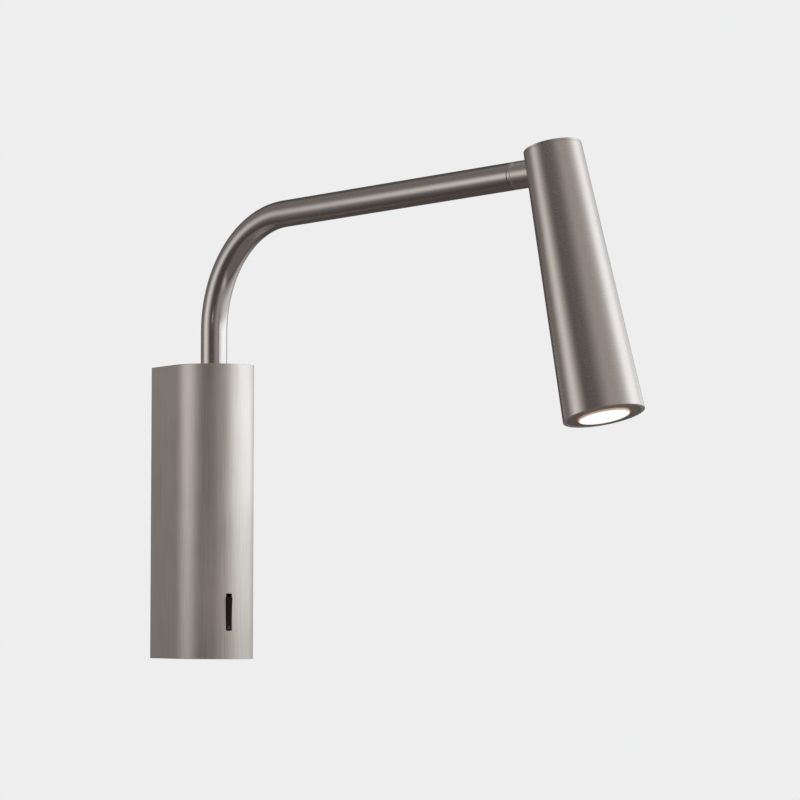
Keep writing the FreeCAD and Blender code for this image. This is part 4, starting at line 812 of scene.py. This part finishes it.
class LAMP_OT_stage(bpy.types.Operator):
    """Pale floor, background, soft lights and the camera"""
    bl_idname = "lamp.stage"
    bl_label = "Stage"

    def execute(self, context):
        scene = context.scene
        scene.view_settings.view_transform = "Standard"
        self.background(scene)
        self.floor()
        self.surround()
        self.softbox("key_light", *KEY_LIGHT, studio().key)
        self.softbox("fill_light", *FILL_LIGHT, studio().fill)
        self.camera(scene)
        return {"FINISHED"}

    def background(self, scene):
        """A pale world, seen as it is written by the camera, in gloss and through glass."""
        world = bpy.data.worlds.new("pale studio")
        scene.world = world
        world.use_nodes = True
        tree = world.node_tree
        tree.nodes.clear()
        pale = list(studio().backdrop) + [1]
        seen = add(tree, "ShaderNodeBackground", {"Color": pale, "Strength": 1.0})
        soft = add(tree, "ShaderNodeBackground", {"Color": pale, "Strength": WORLD_SHARE})
        path = add(tree, "ShaderNodeLightPath")
        rays = path.outputs["Is Camera Ray"]
        for other in ("Is Glossy Ray", "Is Transmission Ray"):
            rays = add(tree, "ShaderNodeMath", {"operation": "ADD", "use_clamp": True},
                       {0: rays, 1: path.outputs[other]}).outputs[0]
        mixed = add(tree, "ShaderNodeMixShader",
                    links={0: rays, 1: soft.outputs[0], 2: seen.outputs[0]})
        add(tree, "ShaderNodeOutputWorld", links={"Surface": mixed.outputs[0]})

    def floor(self):
        """A wide pale floor well below the lamp."""
        form = bmesh.new()
        bmesh.ops.create_circle(form, cap_ends=True, segments=96, radius=FLOOR_RADIUS)
        bmesh.ops.translate(form, vec=(0, 0, FLOOR_LEVEL), verts=form.verts)
        material, tree, shader, place = blank("pale plaster floor")
        speckle = mottle(tree, place, FLOOR_SPECKLE, 3)
        coloured(tree, shader, speckle, studio().backdrop, 0.97, 1.0, (0.3, 0.7))
        shader.inputs["Roughness"].default_value = 0.9
        piece = shown("floor", form, material)
        piece.visible_glossy = False
        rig.stage(piece)

    def surround(self):
        """A ring of soft cards, a floor and a ceiling that only reflections see."""
        form = bmesh.new()
        bmesh.ops.create_cone(form, cap_ends=False, segments=180, radius1=ROOM_REACH,
                              radius2=ROOM_REACH, depth=ROOM_HIGH - ROOM_LOW)
        self.reflected("surround", form, (ROOM_HIGH + ROOM_LOW) / 2, self.cards)
        for name, level, glow in (("low_card", ROOM_LOW, FLOOR_GLOW),
                                  ("high_card", ROOM_HIGH, CEILING_GLOW)):
            form = bmesh.new()
            bmesh.ops.create_circle(form, cap_ends=True, segments=96, radius=ROOM_REACH)
            self.reflected(name, form, level,
                           lambda tree, bearing, height, glow=glow: self.even(tree, glow))

    def even(self, tree, glow):
        """One radiance all over."""
        return add(tree, "ShaderNodeCombineXYZ", dict(zip("XYZ", glow))).outputs[0]

    def cards(self, tree, bearing, height):
        """The sum of the soft cards over the room's own dim glow."""
        total = self.even(tree, ROOM_GLOW)
        for turn, half, soft, foot, head, fade, radiance, warmth in CARDS.values():
            away = add(tree, "ShaderNodeMath", {"operation": "SUBTRACT", 1: math.radians(turn)},
                       {0: bearing}).outputs[0]
            near = add(tree, "ShaderNodeMath", {"operation": "WRAP", 1: math.pi, 2: -math.pi},
                       {0: away}).outputs[0]
            aside = add(tree, "ShaderNodeMath", {"operation": "ABSOLUTE"}, {0: near}).outputs[0]
            part = self.edge(tree, aside, math.radians(half), -math.radians(soft))
            for level, width in ((foot, fade), (head, -fade)):
                part = add(tree, "ShaderNodeMath", {"operation": "MULTIPLY"},
                           {0: part, 1: self.edge(tree, height, level, width)}).outputs[0]
            glow = (radiance * (1 + WARM_RED * warmth), radiance,
                    radiance * (1 - WARM_BLUE * warmth))
            total = add(tree, "ShaderNodeVectorMath", {"operation": "MULTIPLY_ADD", 1: glow},
                        {0: part, 2: total}).outputs[0]
        return total

    def edge(self, tree, value, at, width):
        """A smooth step up over a width about a value, or down where the width is negative."""
        low, high = at - abs(width) / 2, at + abs(width) / 2
        start, end = (0.0, 1.0) if width > 0 else (1.0, 0.0)
        return add(tree, "ShaderNodeMapRange",
                   {"interpolation_type": "SMOOTHSTEP", "From Min": low, "From Max": high,
                    "To Min": start, "To Max": end}, {"Value": value}).outputs["Result"]

    def reflected(self, name, form, level, light):
        """A glowing sheet round the lamp that only glossy rays see."""
        bmesh.ops.translate(form, vec=(ROOM_X, ROOM_Y, level), verts=form.verts)
        material = bpy.data.materials.new(name)
        material.use_nodes = True
        tree = material.node_tree
        tree.nodes.clear()
        place = add(tree, "ShaderNodeTexCoord").outputs["Object"]
        centred = add(tree, "ShaderNodeVectorMath",
                      {"operation": "SUBTRACT", 1: (ROOM_X, ROOM_Y, 0)}, {0: place}).outputs[0]
        faced = add(tree, "ShaderNodeVectorRotate",
                    {"rotation_type": "Z_AXIS", "Angle": -CAMERA_BEARING},
                    {"Vector": centred}).outputs[0]
        axes = add(tree, "ShaderNodeSeparateXYZ", links={0: faced}).outputs
        bearing = add(tree, "ShaderNodeMath", {"operation": "ARCTAN2"},
                      {0: axes["Y"], 1: axes["X"]}).outputs[0]
        glow = add(tree, "ShaderNodeEmission", links={"Color": light(tree, bearing, axes["Z"])})
        add(tree, "ShaderNodeOutputMaterial", links={"Surface": glow.outputs[0]})
        piece = shown(name, form, material)
        for ray in ("camera", "diffuse", "shadow", "transmission", "volume_scatter"):
            setattr(piece, f"visible_{ray}", False)
        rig.stage(piece)

    def softbox(self, name, spot, width, height, power):
        """A soft area light that faces the lamp and isn't seen itself."""
        lamp = bpy.data.lights.new(name, "AREA")
        lamp.shape = "RECTANGLE"
        lamp.size, lamp.size_y, lamp.energy = width, height, power
        item = bpy.data.objects.new(name, lamp)
        item.location = spot
        item.rotation_euler = (LIT_POINT - item.location).to_track_quat("-Z", "Y").to_euler()
        item.visible_camera = False
        item.visible_glossy = False
        bpy.context.scene.collection.objects.link(item)

    def camera(self, scene):
        """The photograph's viewpoint: low, from the left, through a long lens."""
        lens = bpy.data.cameras.new("camera")
        lens.sensor_width = CAMERA_SENSOR
        lens.lens = studio().focal
        lens.clip_start, lens.clip_end = CAMERA_CLIP
        item = bpy.data.objects.new("camera", lens)
        item.matrix_world = Matrix.Translation(CAMERA_SPOT) @ CAMERA_TURN.to_4x4()
        scene.collection.objects.link(item)
        scene.camera = item


class LAMP_PT_panel(bpy.types.Panel):
    """Lists the lamp's pieces and settings"""
    bl_label = "Reading Lamp"
    bl_idname = "LAMP_PT_panel"
    bl_space_type = "VIEW_3D"
    bl_region_type = "UI"
    bl_category = "Reading Lamp"

    def draw(self, context):
        for group in (finish(), sizes(), studio()):
            box = self.layout.box()
            for name in group.__annotations__:
                box.prop(group, name)
        for step in STEPS:
            self.layout.operator(step.bl_idname)


STEPS = (LAMP_OT_housing, LAMP_OT_arm, LAMP_OT_head, LAMP_OT_light, LAMP_OT_switch,
         LAMP_OT_works, LAMP_OT_stage)
CLASSES = (LampFinish, LampSizes, LampStudio) + STEPS + (LAMP_PT_panel,)


def register():
    for item in CLASSES:
        bpy.utils.register_class(item)
    bpy.types.Scene.lamp_finish = PointerProperty(type=LampFinish)
    bpy.types.Scene.lamp_sizes = PointerProperty(type=LampSizes)
    bpy.types.Scene.lamp_studio = PointerProperty(type=LampStudio)


def unregister():
    for name in ("lamp_finish", "lamp_sizes", "lamp_studio"):
        delattr(bpy.types.Scene, name)
    for item in reversed(CLASSES):
        bpy.utils.unregister_class(item)


def main():
    """Make every piece in turn and write the two boxes."""
    register()
    bpy.ops.lamp.housing()
    bpy.ops.lamp.arm()
    bpy.ops.lamp.head()
    bpy.ops.lamp.light()
    bpy.ops.lamp.switch()
    bpy.ops.lamp.works()
    bpy.ops.lamp.stage()
    boxes = {"cad": [list(corner) for corner in CAD_BOUNDS], "visual": [list(corner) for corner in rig.bounds()]}
    with open(studio().report, "w") as file:
        json.dump(boxes, file)


if __name__ == "__main__":
    main()
